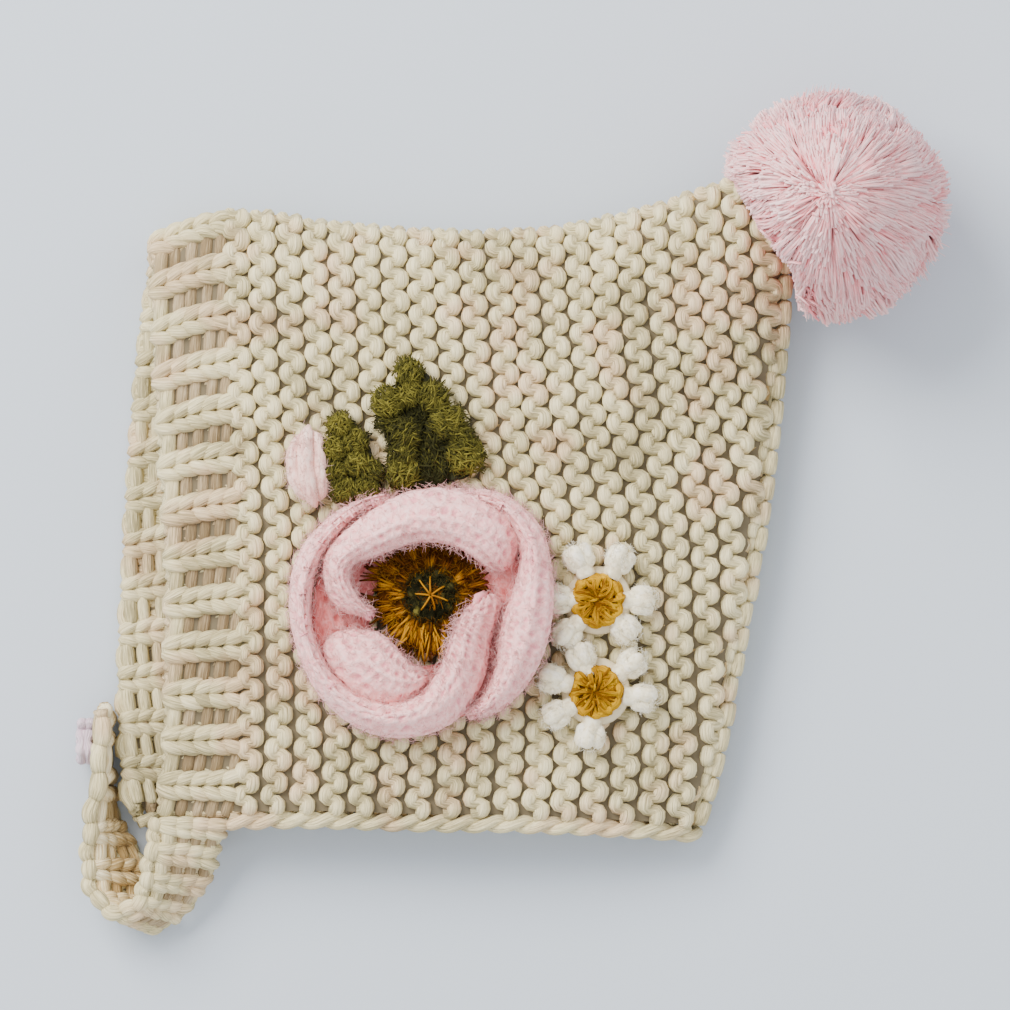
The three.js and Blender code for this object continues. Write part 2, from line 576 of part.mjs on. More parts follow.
// Half widths left and right of the vein, from the foot, 0, to the tip, 1.
const LEAVES = {
  leaf_large: {
    foot: { x: -17.6, y: 6.9 }, tip: { x: -24.4, y: 36.6 }, thickness: 4.2,
    rows: [
      { up: 0, left: 8.2, right: 9.0 },
      { up: 0.16, left: 9.6, right: 13.0 },
      { up: 0.3, left: 8.6, right: 12.2 },
      { up: 0.44, left: 10.2, right: 10.4 },
      { up: 0.56, left: 9.2, right: 8.6 },
      { up: 0.68, left: 9.4, right: 7.6 },
      { up: 0.84, left: 4.8, right: 4.8 },
      { up: 1, left: 0.9, right: 0.9 },
    ],
  },
  leaf_small: {
    foot: { x: -36.6, y: 3.2 }, tip: { x: -40.2, y: 23.4 }, thickness: 3.8,
    rows: [
      { up: 0, left: 5.2, right: 5.0 },
      { up: 0.2, left: 7.0, right: 7.2 },
      { up: 0.42, left: 7.0, right: 6.2 },
      { up: 0.62, left: 5.6, right: 5.8 },
      { up: 0.8, left: 3.8, right: 4.6 },
      { up: 1, left: 1.0, right: 1.0 },
    ],
  },
};

function leafGeometry({ foot, tip, thickness, rows }) {
  const [lengthSteps, halfSteps] = [11, 3];
  const vein = new THREE.Vector2(tip.x - foot.x, tip.y - foot.y);
  const rightward = new THREE.Vector2(vein.y, -vein.x).normalize();
  const [top, under] = [[], []];
  for (let i = 0; i <= lengthSteps; i += 1) {
    const row = rowAt(rows, 'up', i / lengthSteps);
    const [topRow, underRow] = [[], []];
    for (let k = -halfSteps; k <= halfSteps; k += 1) {
      const share = k / halfSteps;
      const across = share * (k < 0 ? row.left : row.right);
      const x = foot.x + (vein.x * i) / lengthSteps + rightward.x * across;
      const y = foot.y + (vein.y * i) / lengthSteps + rightward.y * across;
      const floor = clothTop(x, y) + GAP;
      const crown = 1 - 0.55 * share ** 4 - (k === 0 ? 0.25 : 0);
      topRow.push(new THREE.Vector3(x, y, floor + thickness * crown));
      underRow.push(new THREE.Vector3(x, y, floor));
    }
    top.push(topRow);
    under.push(underRow);
  }
  return wallBetween(top, under);
}

for (const [name, leaf] of Object.entries(LEAVES)) addPiece(name, leafGeometry(leaf), oliveMaterial);

// ---- Puffs: rounded crochet bobbles for the bud and the daisies' petals -----------------------------------

// An oval bobble with a flat foot: long along its turn, wide across it, bent sideways by bow.
function puffGeometry({ x, y, turn, long, wide, high, bow = 0, detail = 2 }) {
  const geometry = stripped(new THREE.IcosahedronGeometry(1, detail));
  const place = geometry.attributes.position;
  const [cos, sin] = [Math.cos(radians(turn)), Math.sin(radians(turn))];
  for (let i = 0; i < place.count; i += 1) {
    const run = (place.getX(i) * long) / 2;
    const side = (place.getY(i) * wide) / 2 + bow * (1 - place.getX(i) ** 2);
    const [px, py] = [x + run * cos - side * sin, y + run * sin + side * cos];
    const lift = Math.max(0, 0.42 + place.getZ(i) * 0.58) * high;
    place.setXYZ(i, px, py, clothTop(px, py) + GAP + lift);
  }
  return mergeVertices(geometry, 1e-3);
}

addPiece('bud', puffGeometry({ x: -47.6, y: 11.2, turn: 95, long: 20.5, wide: 7.6, high: 6, bow: 1.6 }),
  { color: 0xeadbe0, roughness: 0.95, metalness: 0 });

// Where each daisy petal lies round its middle.
const DAISIES = {
  daisy_upper: {
    x: 20.9, y: -20.9,
    petals: [
      { turn: 114, reach: 11.4 }, { turn: 62, reach: 11.4 }, { turn: 0, reach: 10.8 },
      { turn: -46, reach: 9.8 }, { turn: -132, reach: 11.0 }, { turn: 178, reach: 9.4 },
    ],
  },
  daisy_lower: {
    x: 20.5, y: -42.7,
    petals: [
      { turn: 112, reach: 9.4 }, { turn: 38, reach: 11.2 }, { turn: -8, reach: 11.6 },
      { turn: -97, reach: 10.9 }, { turn: -150, reach: 11.2 }, { turn: 164, reach: 11.2 },
    ],
  },
};

// Six puffs on a thin backing round; with grow, each puff that much larger, to clear a neighbour.
function daisyPetals({ x, y, petals }, grow = 0) {
  const backing = puffGeometry({ x, y, turn: 0, long: 18, wide: 18, high: 1.6, detail: 1 });
  return petals.reduce((solid, { turn, reach }) => {
    const px = x + reach * Math.cos(radians(turn));
    const py = y + reach * Math.sin(radians(turn));
    const size = { long: 8 + grow, wide: 7.4 + grow, high: 5.4 + grow };
    return solid.add(toSolid(puffGeometry({ x: px, y: py, turn, ...size, detail: 1 })));
  }, toSolid(backing));
}

// The middle sits on the backing, between the puffs.
function daisyMiddle({ x, y }, grow = 0) {
  const dome = domeGeometry({ radius: 6.2 + grow, height: 5 + grow, rounds: 14 });
  return dome.translate(x, y, clothTop(x, y) + GAP + 2 - grow);
}

const upperPetals = daisyPetals(DAISIES.daisy_upper).subtract(toSolid(daisyMiddle(DAISIES.daisy_upper, GAP)));
const lowerPetals = daisyPetals(DAISIES.daisy_lower).subtract(toSolid(daisyMiddle(DAISIES.daisy_lower, GAP)))
  .subtract(daisyPetals(DAISIES.daisy_upper, 2 * GAP));
addPiece('daisy_upper_petals', toGeometry(upperPetals), whiteMaterial);
addPiece('daisy_upper_center', daisyMiddle(DAISIES.daisy_upper), ochreMaterial);
addPiece('daisy_lower_petals', toGeometry(lowerPetals), whiteMaterial);
addPiece('daisy_lower_center', daisyMiddle(DAISIES.daisy_lower), ochreMaterial);

export default group;
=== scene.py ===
"""A knitted baby bonnet lying on its side: crown fold away, neck edge near, face opening to the left.

Sizes are in millimetres in the tables and sums below, and metres in every mesh. +Z is up, and the
origin is on the surface that the bonnet lies on, under its middle."""
import math
from functools import partial
from math import pi

import bmesh
import bpy
import numpy as np
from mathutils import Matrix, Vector


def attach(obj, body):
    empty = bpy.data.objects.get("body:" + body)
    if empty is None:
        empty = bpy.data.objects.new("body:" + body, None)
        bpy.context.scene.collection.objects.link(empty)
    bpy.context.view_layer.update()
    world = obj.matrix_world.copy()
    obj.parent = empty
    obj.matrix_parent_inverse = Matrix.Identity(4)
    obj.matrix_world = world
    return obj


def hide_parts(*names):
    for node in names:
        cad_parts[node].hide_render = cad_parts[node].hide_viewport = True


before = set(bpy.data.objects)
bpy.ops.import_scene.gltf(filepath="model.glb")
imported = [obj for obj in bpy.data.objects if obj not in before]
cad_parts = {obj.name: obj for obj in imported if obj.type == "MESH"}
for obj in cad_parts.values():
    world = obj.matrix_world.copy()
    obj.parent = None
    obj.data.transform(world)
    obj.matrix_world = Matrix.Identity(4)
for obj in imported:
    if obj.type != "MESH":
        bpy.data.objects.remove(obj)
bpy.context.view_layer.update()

# ---- Body ----
# One square of garter stitch in a thick, hardly twisted wool, folded along the crown and sewn up
# the back. Both faces show ridges of yarn that run from neck edge to neck edge over the crown.

MM = 0.001
WALL = 4.0  # one layer of the knitting
BRIM_WIDTH = 16.8  # the ribbed band round the face
BAND_GAP = 0.7  # between the band and the garter stitch
CROWN_ROUND = 8.0  # depth of the soft fold along the crown
SEAM_ROUND = 5.0  # depth of the turn at the back seam
PEAK_RISE = 11.0  # how far the pompom holds the peak up
CURL_REACH = 20.0  # how far in from the face the far corner curls up

# From the crown fold, 0, to the neck edge, 1: where the near and far layers' face edges and the
# back seam lie, how much of the thickness is left there, and how far the far face edge curls up.
DOWN = {
    "down": [0.0, 0.15, 0.35, 0.55, 0.75, 0.9, 1.0],
    "near": [-86.2, -85.4, -84.2, -82.4, -82.6, -83.0, -84.6],
    "far": [-86.2, -89.0, -91.6, -93.2, -94.4, -94.0, -92.6],
    "back": [66.4, 66.3, 64.2, 60.2, 54.3, 50.0, 45.2],
    "fill": [0.75, 0.95, 1.0, 1.04, 1.0, 0.9, 0.82],
    "curl": [0.0, 0.0, 0.0, 0.4, 2.5, 6.5, 8.5],
}

# From the face edge, 0, to the back seam, 1: the crown fold, the neck edge, and half the distance
# between the middles of the two layers.
ALONG = {
    "along": [0.0, 0.08, 0.16, 0.3, 0.5, 0.65, 0.8, 0.92, 1.0],
    "crown": [65.1, 69.9, 70.8, 67.6, 65.8, 67.1, 72.3, 78.8, 81.2],
    "neck": [-71.4, -71.8, -71.6, -71.4, -72.2, -72.4, -73.2, -74.2, -75.0],
    "half": [7.8, 8.2, 8.6, 9.0, 9.2, 9.0, 8.0, 6.2, 4.6],
}


def cubic(start, end, slope_in, slope_out, u):
    """A smooth cubic from start to end, by its slopes at both."""
    return (start * (2 * u**3 - 3 * u**2 + 1) + slope_in * (u**3 - 2 * u**2 + u)
            + end * (3 * u**2 - 2 * u**3) + slope_out * (u**3 - u**2))


def row_at(table, key, place):
    """One row of a table at any places between its rows, each column blended by a smooth cubic. A
    column may also be one number."""
    knots = np.array(table[key], float)
    last = len(knots) - 1
    place = np.clip(place, knots[0], knots[-1])
    b = np.clip(np.searchsorted(knots, place, side="right") - 1, 0, last - 1)
    a, c, d = np.maximum(b - 1, 0), b + 1, np.minimum(b + 2, last)
    span = knots[c] - knots[b]
    row = {}
    for name, values in table.items():
        v = np.broadcast_to(np.array(values, float), len(knots))
        slope_in = (v[c] - v[a]) / (knots[c] - knots[a]) * span
        slope_out = (v[d] - v[b]) / (knots[d] - knots[b]) * span
        row[name] = cubic(v[b], v[c], slope_in, slope_out, (place - knots[b]) / span)
    return row


def points(x, y, z):
    return np.stack(np.broadcast_arrays(x, y, z), axis=-1)


def unit(vectors):
    return vectors / np.linalg.norm(vectors, axis=-1, keepdims=True)


def run_along(path):
    """The length of a path up to each of its points."""
    return np.concatenate([[0], np.cumsum(np.linalg.norm(np.diff(path, axis=0), axis=1))])


def smooth(value):
    value = np.clip(value, 0, 1)
    return value * value * (3 - 2 * value)


def rounded(share):
    """A quarter ellipse: 0 at an edge, 1 from one radius inwards."""
    return np.sqrt(np.maximum(0, 1 - (1 - np.clip(share, 0, 1)) ** 2))


def cloth_middle(along, down, layer):
    """The middle of the knitted wall. The near layer is +1 and the far layer, on the surface, -1."""
    edge, line = row_at(DOWN, "down", down), row_at(ALONG, "along", along)
    front = edge["near"] if layer > 0 else edge["far"]
    x = front + (edge["back"] - front) * along
    y = line["crown"] + (line["neck"] - line["crown"]) * down
    turn = rounded((line["crown"] - y) / CROWN_ROUND) * rounded((edge["back"] - x) / SEAM_ROUND)
    half = line["half"] * edge["fill"]
    rise = PEAK_RISE * smooth((along - 0.66) / 0.34) * smooth((0.4 - down) / 0.4)
    curl = edge["curl"] * (1 - np.clip((x - front) / CURL_REACH, 0, 1)) ** 2 if layer < 0 else 0
    return points(x, y, WALL / 2 + rise + curl + half * (1 + layer * turn))


ALONG_STEPS, AROUND_STEPS, SECTION_STEPS = 160, 400, 200


def cloth_grid():
    """The wall's middle and outward normal over even steps, closer together towards the back seam.
    Around runs from the near neck edge, -1, over the crown fold, 0, to the far neck edge, 1."""
    along = 1 - (1 - np.linspace(0, 1, ALONG_STEPS + 1)) ** 2
    downs = np.linspace(0, 1, SECTION_STEPS + 1) ** 2
    around = np.linspace(-1, 1, AROUND_STEPS + 1)
    grid = np.empty((len(along), len(around), 3))
    for layer, part in ((1, around <= 0), (-1, around > 0)):
        section = cloth_middle(along[:, None], downs[None, :], layer)
        steps = np.linalg.norm(np.diff(section, axis=1), axis=2)
        run = np.concatenate([np.zeros((len(along), 1)), np.cumsum(steps, axis=1)], axis=1)
        for i in range(len(along)):
            wanted = np.abs(around[part]) * run[i, -1]
            for axis in range(3):
                grid[i, part, axis] = np.interp(wanted, run[i], section[i, :, axis])
    normal = unit(np.cross(np.gradient(grid, axis=0), np.gradient(grid, axis=1)))
    return np.concatenate([grid, normal], axis=2)


CLOTH = cloth_grid()


def blend(grid, i, j):
    """A grid's values at any places between its rows and columns, held at its edges."""
    last_i, last_j = grid.shape[0] - 1, grid.shape[1] - 1
    i, j = np.clip(i, 0, last_i), np.clip(j, 0, last_j)
    i0, j0 = np.minimum(i.astype(int), last_i - 1), np.minimum(j.astype(int), last_j - 1)
    u, v = (i - i0)[..., None], (j - j0)[..., None]
    return ((grid[i0, j0] * (1 - u) + grid[i0 + 1, j0] * u) * (1 - v)
            + (grid[i0, j0 + 1] * (1 - u) + grid[i0 + 1, j0 + 1] * u) * v)


def cloth(along, around, height=0.0):
    """Points at a height over the middle of the wall, outwards, by where they are on the cloth."""
    along, around, height = np.broadcast_arrays(along, around, height)
    i = (1 - np.sqrt(1 - np.clip(along, 0, 1))) * ALONG_STEPS
    spot = blend(CLOTH, i, (around + 1) / 2 * AROUND_STEPS)
    return spot[..., :3] + unit(spot[..., 3:]) * height[..., None]


def inner_depth(along, around, depth):
    """How deep inside the wall's middle a thread may lie where the two layers come together."""
    along, around = np.broadcast_arrays(along, around)
    apart = cloth(along, -np.abs(around))[..., 2] - cloth(along, np.abs(around))[..., 2]
    return -np.minimum(depth, 0.28 * apart)


def put(name, data):
    """An object of that name and data, in the scene."""
    made = bpy.data.objects.new(name, data)
    bpy.context.scene.collection.objects.link(made)
    return made


def finish_piece(piece, look, *nodes):
    """Gives a piece the material of its look, and lets it stand for nodes of the part."""
    material, slot = look
    piece.data.materials.clear()
    piece.data.materials.append(material)
    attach(piece, "root")
    if nodes:
        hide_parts(*nodes)
    return piece


def mark_threads(mesh, threads, tones):
    """Gives a mesh what the wool's shading reads at every point: its place along and round the
    thread, and a tone from 0 to 1, which holds random unevenness and, in many places, painted shade
    and light."""
    for name, kind, field, values in (("thread", "FLOAT_VECTOR", "vector", threads),
                                      ("tone", "FLOAT", "value", tones)):
        mesh.attributes.new(name, kind, "POINT").data.foreach_set(field, np.ravel(values))


FLOOR_GAP = 0.05  # between the yarn and what the bonnet lies on
SHIFT, SHIFT_SPAN = 97.0, 1013.0  # so that no two threads have their fibres at the same places


def lay_yarn(name, strands, look, *nodes, sides=8):
    """One piece of yarn from strands, each its path and its thickness at every point in
    millimetres, and its tone."""
    turns = -np.arange(sides) / sides * 2 * pi
    circle = bpy.data.curves.new(name + "_section", "CURVE")
    ring = circle.splines.new("POLY")
    ring.points.add(sides - 1)
    ring.points.foreach_set("co", np.column_stack(
        [np.cos(turns) * MM / 2, np.sin(turns) * MM / 2, turns * 0, turns * 0 + 1]).ravel())
    ring.use_cyclic_u = True
    section = put(name + "_section", circle)
    curve = bpy.data.curves.new(name, "CURVE")
    curve.dimensions, curve.bevel_mode, curve.bevel_object = "3D", "OBJECT", section
    runs, tones = [], []
    for path, thickness, tone in strands:
        path = np.array(path, float)
        thickness = np.broadcast_to(np.asarray(thickness, float), len(path))
        path[:, 2] = np.maximum(path[:, 2], thickness / 2 + FLOOR_GAP)
        spline = curve.splines.new("POLY")
        spline.points.add(len(path) - 1)
        spline.points.foreach_set("co", np.column_stack([path * MM, np.ones(len(path))]).ravel())
        spline.points.foreach_set("radius", thickness)
        runs.append(run_along(path) + SHIFT * len(runs) % SHIFT_SPAN)
        tones.append(np.broadcast_to(np.asarray(tone, float), len(path)))
    source = put(name, curve)
    bpy.context.view_layer.update()
    mesh = bpy.data.meshes.new_from_object(source.evaluated_get(bpy.context.evaluated_depsgraph_get()))
    run = np.repeat(np.concatenate(runs), sides)
    turn = np.tile(turns, len(run) // sides)
    mark_threads(mesh, points(run, np.cos(turn), np.sin(turn)), np.repeat(np.concatenate(tones), sides))
    shape = bmesh.new()
    shape.from_mesh(mesh)
    bmesh.ops.holes_fill(shape, edges=[e for e in shape.edges if e.is_boundary], sides=sides)
    shape.to_mesh(mesh)
    shape.free()
    for made in (source, section):
        bpy.data.objects.remove(made)
    while mesh.uv_layers:
        mesh.uv_layers.remove(mesh.uv_layers[0])
    mesh.name = name
    return finish_piece(put(name, mesh), look, *nodes)


def new_material(name, settings):
    """A material with those settings of its surface, and the surface's node."""
    material = bpy.data.materials.new(name)
    material.use_nodes = True
    surface = material.node_tree.nodes["Principled BSDF"]
    for setting, value in settings.items():
        surface.inputs[setting].default_value = value
    return material, surface


def wool(name, slot, color, deep, pale, sheen=0.05, lines=(0.2, 3.6), relief=1.0, patch_size=0.022,
         blotch=0.7, tint=None):
    """The look of loose wool: long fibres along the thread, lighter and deeper patches, and a soft
    nap. Where the wool was spun from fleece of two colours, tint is the second."""
    material, surface = new_material(name, {"Roughness": 0.9, "Specular IOR Level": 0.15,
                                            "Sheen Weight": sheen, "Sheen Roughness": 0.6})
    nodes, links = material.node_tree.nodes, material.node_tree.links

    def add(kind, output, inputs=None, **settings):
        """A shading node's output. Its inputs are values or other nodes' outputs."""
        node = nodes.new("ShaderNode" + kind)
        for key, value in settings.items():
            setattr(node, key, value)
        for key, value in (inputs or {}).items():
            if isinstance(value, bpy.types.NodeSocket):
                links.new(value, node.inputs[key])
            else:
                node.inputs[key].default_value = value
        return node.outputs[output]

    def noise(source, scale, detail):
        stretched = add("Mapping", "Vector", {"Vector": source, "Scale": scale})
        return add("TexNoise", "Fac", {"Vector": stretched, "Scale": 1.0, "Detail": detail})

    def times_plus(value, factor, addend):
        return add("Math", "Value", {0: value, 1: factor, 2: addend}, operation="MULTIPLY_ADD")

    thread = add("Attribute", "Vector", attribute_name="thread")
    place = add("TexCoord", "Object")
    coarse = noise(thread, (lines[0], lines[1], lines[1]), 2)
    fine = noise(thread, (1.6 * lines[0], 2.4 * lines[1], 2.4 * lines[1]), 2)
    patch = noise(place, (1 / patch_size,) * 3, 1)
    shade = times_plus(add("Attribute", "Fac", attribute_name="tone"), 1.0, -0.95 - blotch / 2)
    for value, weight in ((coarse, 1.0), (fine, 0.9), (patch, blotch)):
        shade = times_plus(value, weight, shade)
    ramp = nodes.new("ShaderNodeValToRGB")
    stops = ramp.color_ramp.elements
    stops[0].position, stops[0].color = 0.2, (*deep, 1)
    stops[1].position, stops[1].color = 0.5, (*color, 1)
    stops.new(0.8).color = (*pale, 1)
    links.new(shade, ramp.inputs["Fac"])
    base = ramp.outputs["Color"]
    if tint:
        cloud = times_plus(noise(place, (75.0,) * 3, 1), 7.0, -3.5)
        base = add("Mix", "Result", {"Factor": cloud, "A": base, "B": (*tint, 1)},
                   data_type="RGBA", blend_type="MULTIPLY")
    links.new(base, surface.inputs["Base Color"])
    bump = add("Bump", "Normal", {"Strength": relief, "Distance": 0.55 * MM,
                                  "Height": times_plus(fine, 0.7, coarse)})
    links.new(bump, surface.inputs["Normal"])
    return material, slot


CREAM = wool("cream_wool", "knit_cream", (0.69, 0.595, 0.33), (0.39, 0.33, 0.17), (0.87, 0.77, 0.47),
             tint=(1.0, 0.87, 0.9))
# A darker, more golden copy of the cream for the inner faces: painted shade inside the bonnet and on the
# strap's inner face.
CREAM_INSIDE_SHADE = wool("cream_wool_inner_shade", "knit_cream", (0.76, 0.58, 0.30), (0.42, 0.27, 0.10),
                   (0.90, 0.79, 0.52))
# A dark brown cream for the web between the stitches: painted shade in the crevices.
CREAM_PAINTED_SHADE = wool("cream_wool_painted_shade", "knit_cream", (0.28, 0.235, 0.155), (0.16, 0.13, 0.08),
                  (0.36, 0.31, 0.21))
GARTER_EDGE = BRIM_WIDTH + BAND_GAP  # from the face edge to the garter stitch
STITCHES = 26  # from a neck edge to the crown fold, the same in every row
RIDGES = 21  # where the garter stitch is longest, by the crown
YARN = 3.62  # thickness
FIRST_RIDGE = {1: 0.4, -1: 0.9}  # in ridges from the band, on the outer and the inner face
SEAM_START, SEAM_LINE = 0.988, 0.9945  # shares of the width: the ridges end, and the seam's stitches lie
LAYER_LAP = 0.3  # stitches by which the two layers' yarn laps at the crown fold
SWAY = 1.8  # how far the yarn swings to each side of its ridge
RIDGE_HEIGHT = 0.8  # of the yarn's middle over the middle of the wall

# The distance between ridges, which grows towards the neck edge.
RIDGE_PITCH = {
    "down": [0.0, 0.09, 0.32, 0.51, 0.69, 0.86, 1.0],
    "pitch": [6.31, 6.31, 6.42, 6.73, 6.82, 6.91, 6.96],
}

rng = np.random.default_rng(11)  # for every random draw, so that each run is the same


def jitter(amount, *shape):
    """Hand-made unevenness: one random value about 0, or an array of them."""
    return rng.normal(0, amount, shape or None)


def uneven(places, step, amount, middle=0.0):
    """The same along a thread: random values at even steps, joined by straight lines."""
    knots = np.arange(places.min() - step, places.max() + 2 * step, step)
    return np.interp(places, knots, rng.normal(middle, amount, len(knots)))


def width_at(around):
    """The cloth's width there, from the face edge to the back seam."""
    edge = row_at(DOWN, "down", np.abs(around))
    return edge["back"] - np.where(around <= 0, edge["near"], edge["far"])


def garter_strands(side, detail_near, detail_far):
    """The ridges' yarn, on the outer face with side 1 or the inner with -1. Each winds from side to
    side of its ridge and laps over itself on the way. Detail is points for each stitch."""
    strands = []
    stitch = np.concatenate([np.arange(-STITCHES, 0, 1 / detail_near),
                             np.arange(0, STITCHES + 1 / detail_far, 1 / detail_far)])
    drift = uneven(stitch, 5.0, 0.25)
    base = stitch / STITCHES
    width = width_at(base)
    start = GARTER_EDGE / width
    near_width = width_at(-np.abs(base)) - GARTER_EDGE
    pitch = row_at(RIDGE_PITCH, "down", np.abs(base))["pitch"]
    for k in range(RIDGES):
        share = pitch * (k + FIRST_RIDGE[side]) / near_width
        turn = 2 * pi * stitch + uneven(stitch, 2.0, 0.22)
        swing = SWAY * uneven(stitch, 0.5, 0.07, 1.0)
        across = swing * (np.sin(turn) + 0.13 * np.sin(3 * turn)) + drift + uneven(stitch, 4.0, 0.12)
        ground = start + (1 - start) * share
        along = np.minimum(ground + across / width, SEAM_START)
        around = base - 0.055 * np.sin(2 * turn) / STITCHES
        height = RIDGE_HEIGHT - 0.3 * np.cos(turn) + 0.2 * np.sin(turn) - 0.4 * np.cos(2 * turn)
        height = (height + uneven(stitch, 1.0, 0.1)) * (1 - smooth((along - SEAM_START + 0.02) / 0.02))
        if side < 0:
            height = inner_depth(along, around, height + 1.2)
        path = cloth(along, around, height)
        thick = YARN * uneven(stitch, 1.0, 0.05, 1.0) * (0.9 + 0.12 * np.sin(turn) ** 2)
        thick = thick * (1 - 0.7 * smooth((ground - SEAM_START) / 0.02))
        # Painted shade: the yarn is darker where it crosses and dips, in the slits between lobes.
        tone = 0.46 - 0.15 * np.cos(2 * turn) + uneven(stitch, 0.5, 0.07)
        kept = ground < 1.01
        layers = (kept,) if kept.all() else (kept & (stitch < LAYER_LAP), kept & (stitch > -LAYER_LAP))
        for use in layers:
            if use.sum() > detail_far:
                strands.append((path[use], thick[use], tone[use]))
    return strands


def seam_stitches(layer):
    """The edge stitches at the back seam: fat ones, end to end, one for every two rows."""
    strands = []
    for k in range(STITCHES):
        around = layer * (k + 0.5) / STITCHES
        u = np.linspace(-1, 1, 8)
        rise = np.sqrt(np.maximum(0, 1 - np.abs(u) ** 5))
        path = cloth(SEAM_LINE + jitter(0.001), around + 0.48 * u / STITCHES, 0.1 + 0.5 * rise)
        strands.append((path, 1.4 + 2.8 * rise, 0.46 + jitter(0.05)))
    return strands


body_yarn = garter_strands(1, 12, 5) + seam_stitches(-1) + seam_stitches(1)
body_outside = lay_yarn("body_outside", body_yarn, CREAM, "body")
body_inside = lay_yarn("body_inside", garter_strands(-1, 5, 5), CREAM_INSIDE_SHADE, "body", sides=5)


def grid_shape(steps):
    """A flat grid, and its points' shares along and across."""
    shape = bmesh.new()
    bmesh.ops.create_grid(shape, x_segments=steps[0], y_segments=steps[1], size=0.5)
    return shape, *(np.array([v.co for v in shape.verts])[:, :2].T + 0.5)


def shaped_piece(name, shape, spots, soft=True, wall=None):
    """A piece from a shape, its points moved to spots in millimetres. A wall is its thickness and
    the side of the spots that it lies on."""
    for vertex, spot in zip(shape.verts, spots * MM):
        vertex.co = spot
    mesh = bpy.data.meshes.new(name)
    shape.to_mesh(mesh)
    shape.free()
    if soft:
        mesh.shade_smooth()
    piece = put(name, mesh)
    if wall:
        solid = piece.modifiers.new("wall", "SOLIDIFY")
        solid.thickness, solid.offset = wall[0] * MM, wall[1]
    return piece


def cloth_sheet(name, node, place, thickness, steps):
    """The web of the knitting between its raised stitches: a grid laid by place(u, v), made solid.
    Its dark colour is painted shade deep between the stitches.
    """
    shape, u, v = grid_shape(steps)
    piece = shaped_piece(name, shape, place(u, v), soft=False, wall=(thickness, 0))
    return finish_piece(piece, CREAM_PAINTED_SHADE, node)


WEB_FLOOR = 1.2  # the yarn under the web keeps it this far up


def web(along, around):
    spot = cloth(along, around)
    spot[:, 2] = np.maximum(spot[:, 2], WEB_FLOOR)
    return spot


def body_web_place(u, v):
    start = GARTER_EDGE / width_at(2 * v - 1)
    return web(start + (0.998 - start) * u, 2 * v - 1)


body_web = cloth_sheet("body_web", "body", body_web_place, 0.5, (40, 110))

# ---- Brim ----
# A band of knit-one purl-one rib in the same wool, worked round the face opening: columns of V
# stitches stand out, with short bars deep between them, and the cast-on edge rolls a little.

CREAM_SHADED = wool("cream_wool_shaded", "knit_cream", (0.40, 0.295, 0.165), (0.23, 0.16, 0.08),
                    (0.54, 0.43, 0.27))
RIBS_PER_LAYER = 13
RIB_ROW = 3.6  # from one V to the next
RIB_CENTRE = 0.58  # share of a rib's pitch where its V column lies
BRIM_RUN = 143.0  # from a neck edge to the crown fold, along the band
FIRST_V = -0.6  # from the face edge to the foot of the first V
LEG_LENGTH, LEG_YARN = 6.3, 3.5
BAR_AHEAD, BAR_YARN = 3.0, 3.2  # a bar lies this far on from the foot of its V


def knit_leg(place, first, near, far, lift, thick, tone, detail):
    """One leg of a V stitch: it comes out of the web, stands out and goes back in."""
    u = np.linspace(0, 1, detail)
    arch = np.sin(pi * u**0.85) ** 0.8
    path = place(first + LEG_LENGTH * u, near + (far - near) * u ** 0.8, lift[0] + (lift[1] - lift[0]) * arch)
    return path, thick * (0.5 + 0.5 * arch), tone


def rib_strands(place, rows, spread, bar, lift, bar_height=-0.3, detail=7, hands=(-1, 1)):
    """One rib: its column of V stitches, whose points face the edge, and the bars of its furrow,
    each by how far it is from the column and half its length. The first bar lies on the edge."""
    raised, sunk = [], []
    for row in range(rows):
        first = FIRST_V + RIB_ROW * row + jitter(0.12)
        for hand in hands:
            tilt = jitter(0.12)
            tone = 0.5 + jitter(0.07)
            raised.append(knit_leg(place, first, hand * 0.5 + tilt, hand * spread + tilt, lift,
                                   LEG_YARN + jitter(0.12), tone, detail))
        u = np.linspace(-1, 1, 7)
        middle = first + BAR_AHEAD + jitter(0.25)
        edge = 0.7 if row == 0 else 0.0
        path = place(middle + 0.35 * u, bar[0] + bar[1] * u, bar_height + edge - 1.1 * u**4)
        # The bars' tone is a little deeper than the legs': painted shade deep in the furrow.
        tone = 0.42 + jitter(0.12)
        thick = BAR_YARN + 0.4 * edge - 0.3 * u * u + jitter(0.12)
        laid = raised if row == 0 else sunk
        laid.append((path, thick, tone))
    return raised, sunk


def brim_rib(rib, side, detail):
    """A rib of the band, on the outer face with side 1 or the inner with -1. The first on the outer
    face is a furrow alone, where the band begins."""
    centre = (rib + (RIB_CENTRE if side > 0 else RIB_CENTRE - 0.5)) / RIBS_PER_LAYER

    def place(first, offset, height):
        around = np.clip(centre + offset / BRIM_RUN, -1, 1)
        along = first / width_at(around)
        if side < 0:
            height = inner_depth(along, around, np.maximum(height, 0.9))
        return cloth(along, around, height)

    half_pitch = BRIM_RUN / RIBS_PER_LAYER / 2
    lift = (-0.8, 1.35) if (side > 0) == (rib < 0) else (0.6, 1.4)
    hands = (-1, 1) if rib >= -RIBS_PER_LAYER else ()
    return rib_strands(place, 5, 2.8, (half_pitch, 3.0), lift, detail=detail, hands=hands)


def brim_edge():
    """The cast-on edge: it runs over each V column and dips into each furrow."""
    around = np.linspace(-1, 1, 20 * RIBS_PER_LAYER + 1)
    wave = np.cos(2 * pi * (around * RIBS_PER_LAYER - RIB_CENTRE))
    first = 1.2 - 0.7 * wave + uneven(around, 0.03, 0.12)
    return cloth(first / width_at(around), around, 0.5 * wave), 2.5 + 0.2 * wave, 0.5


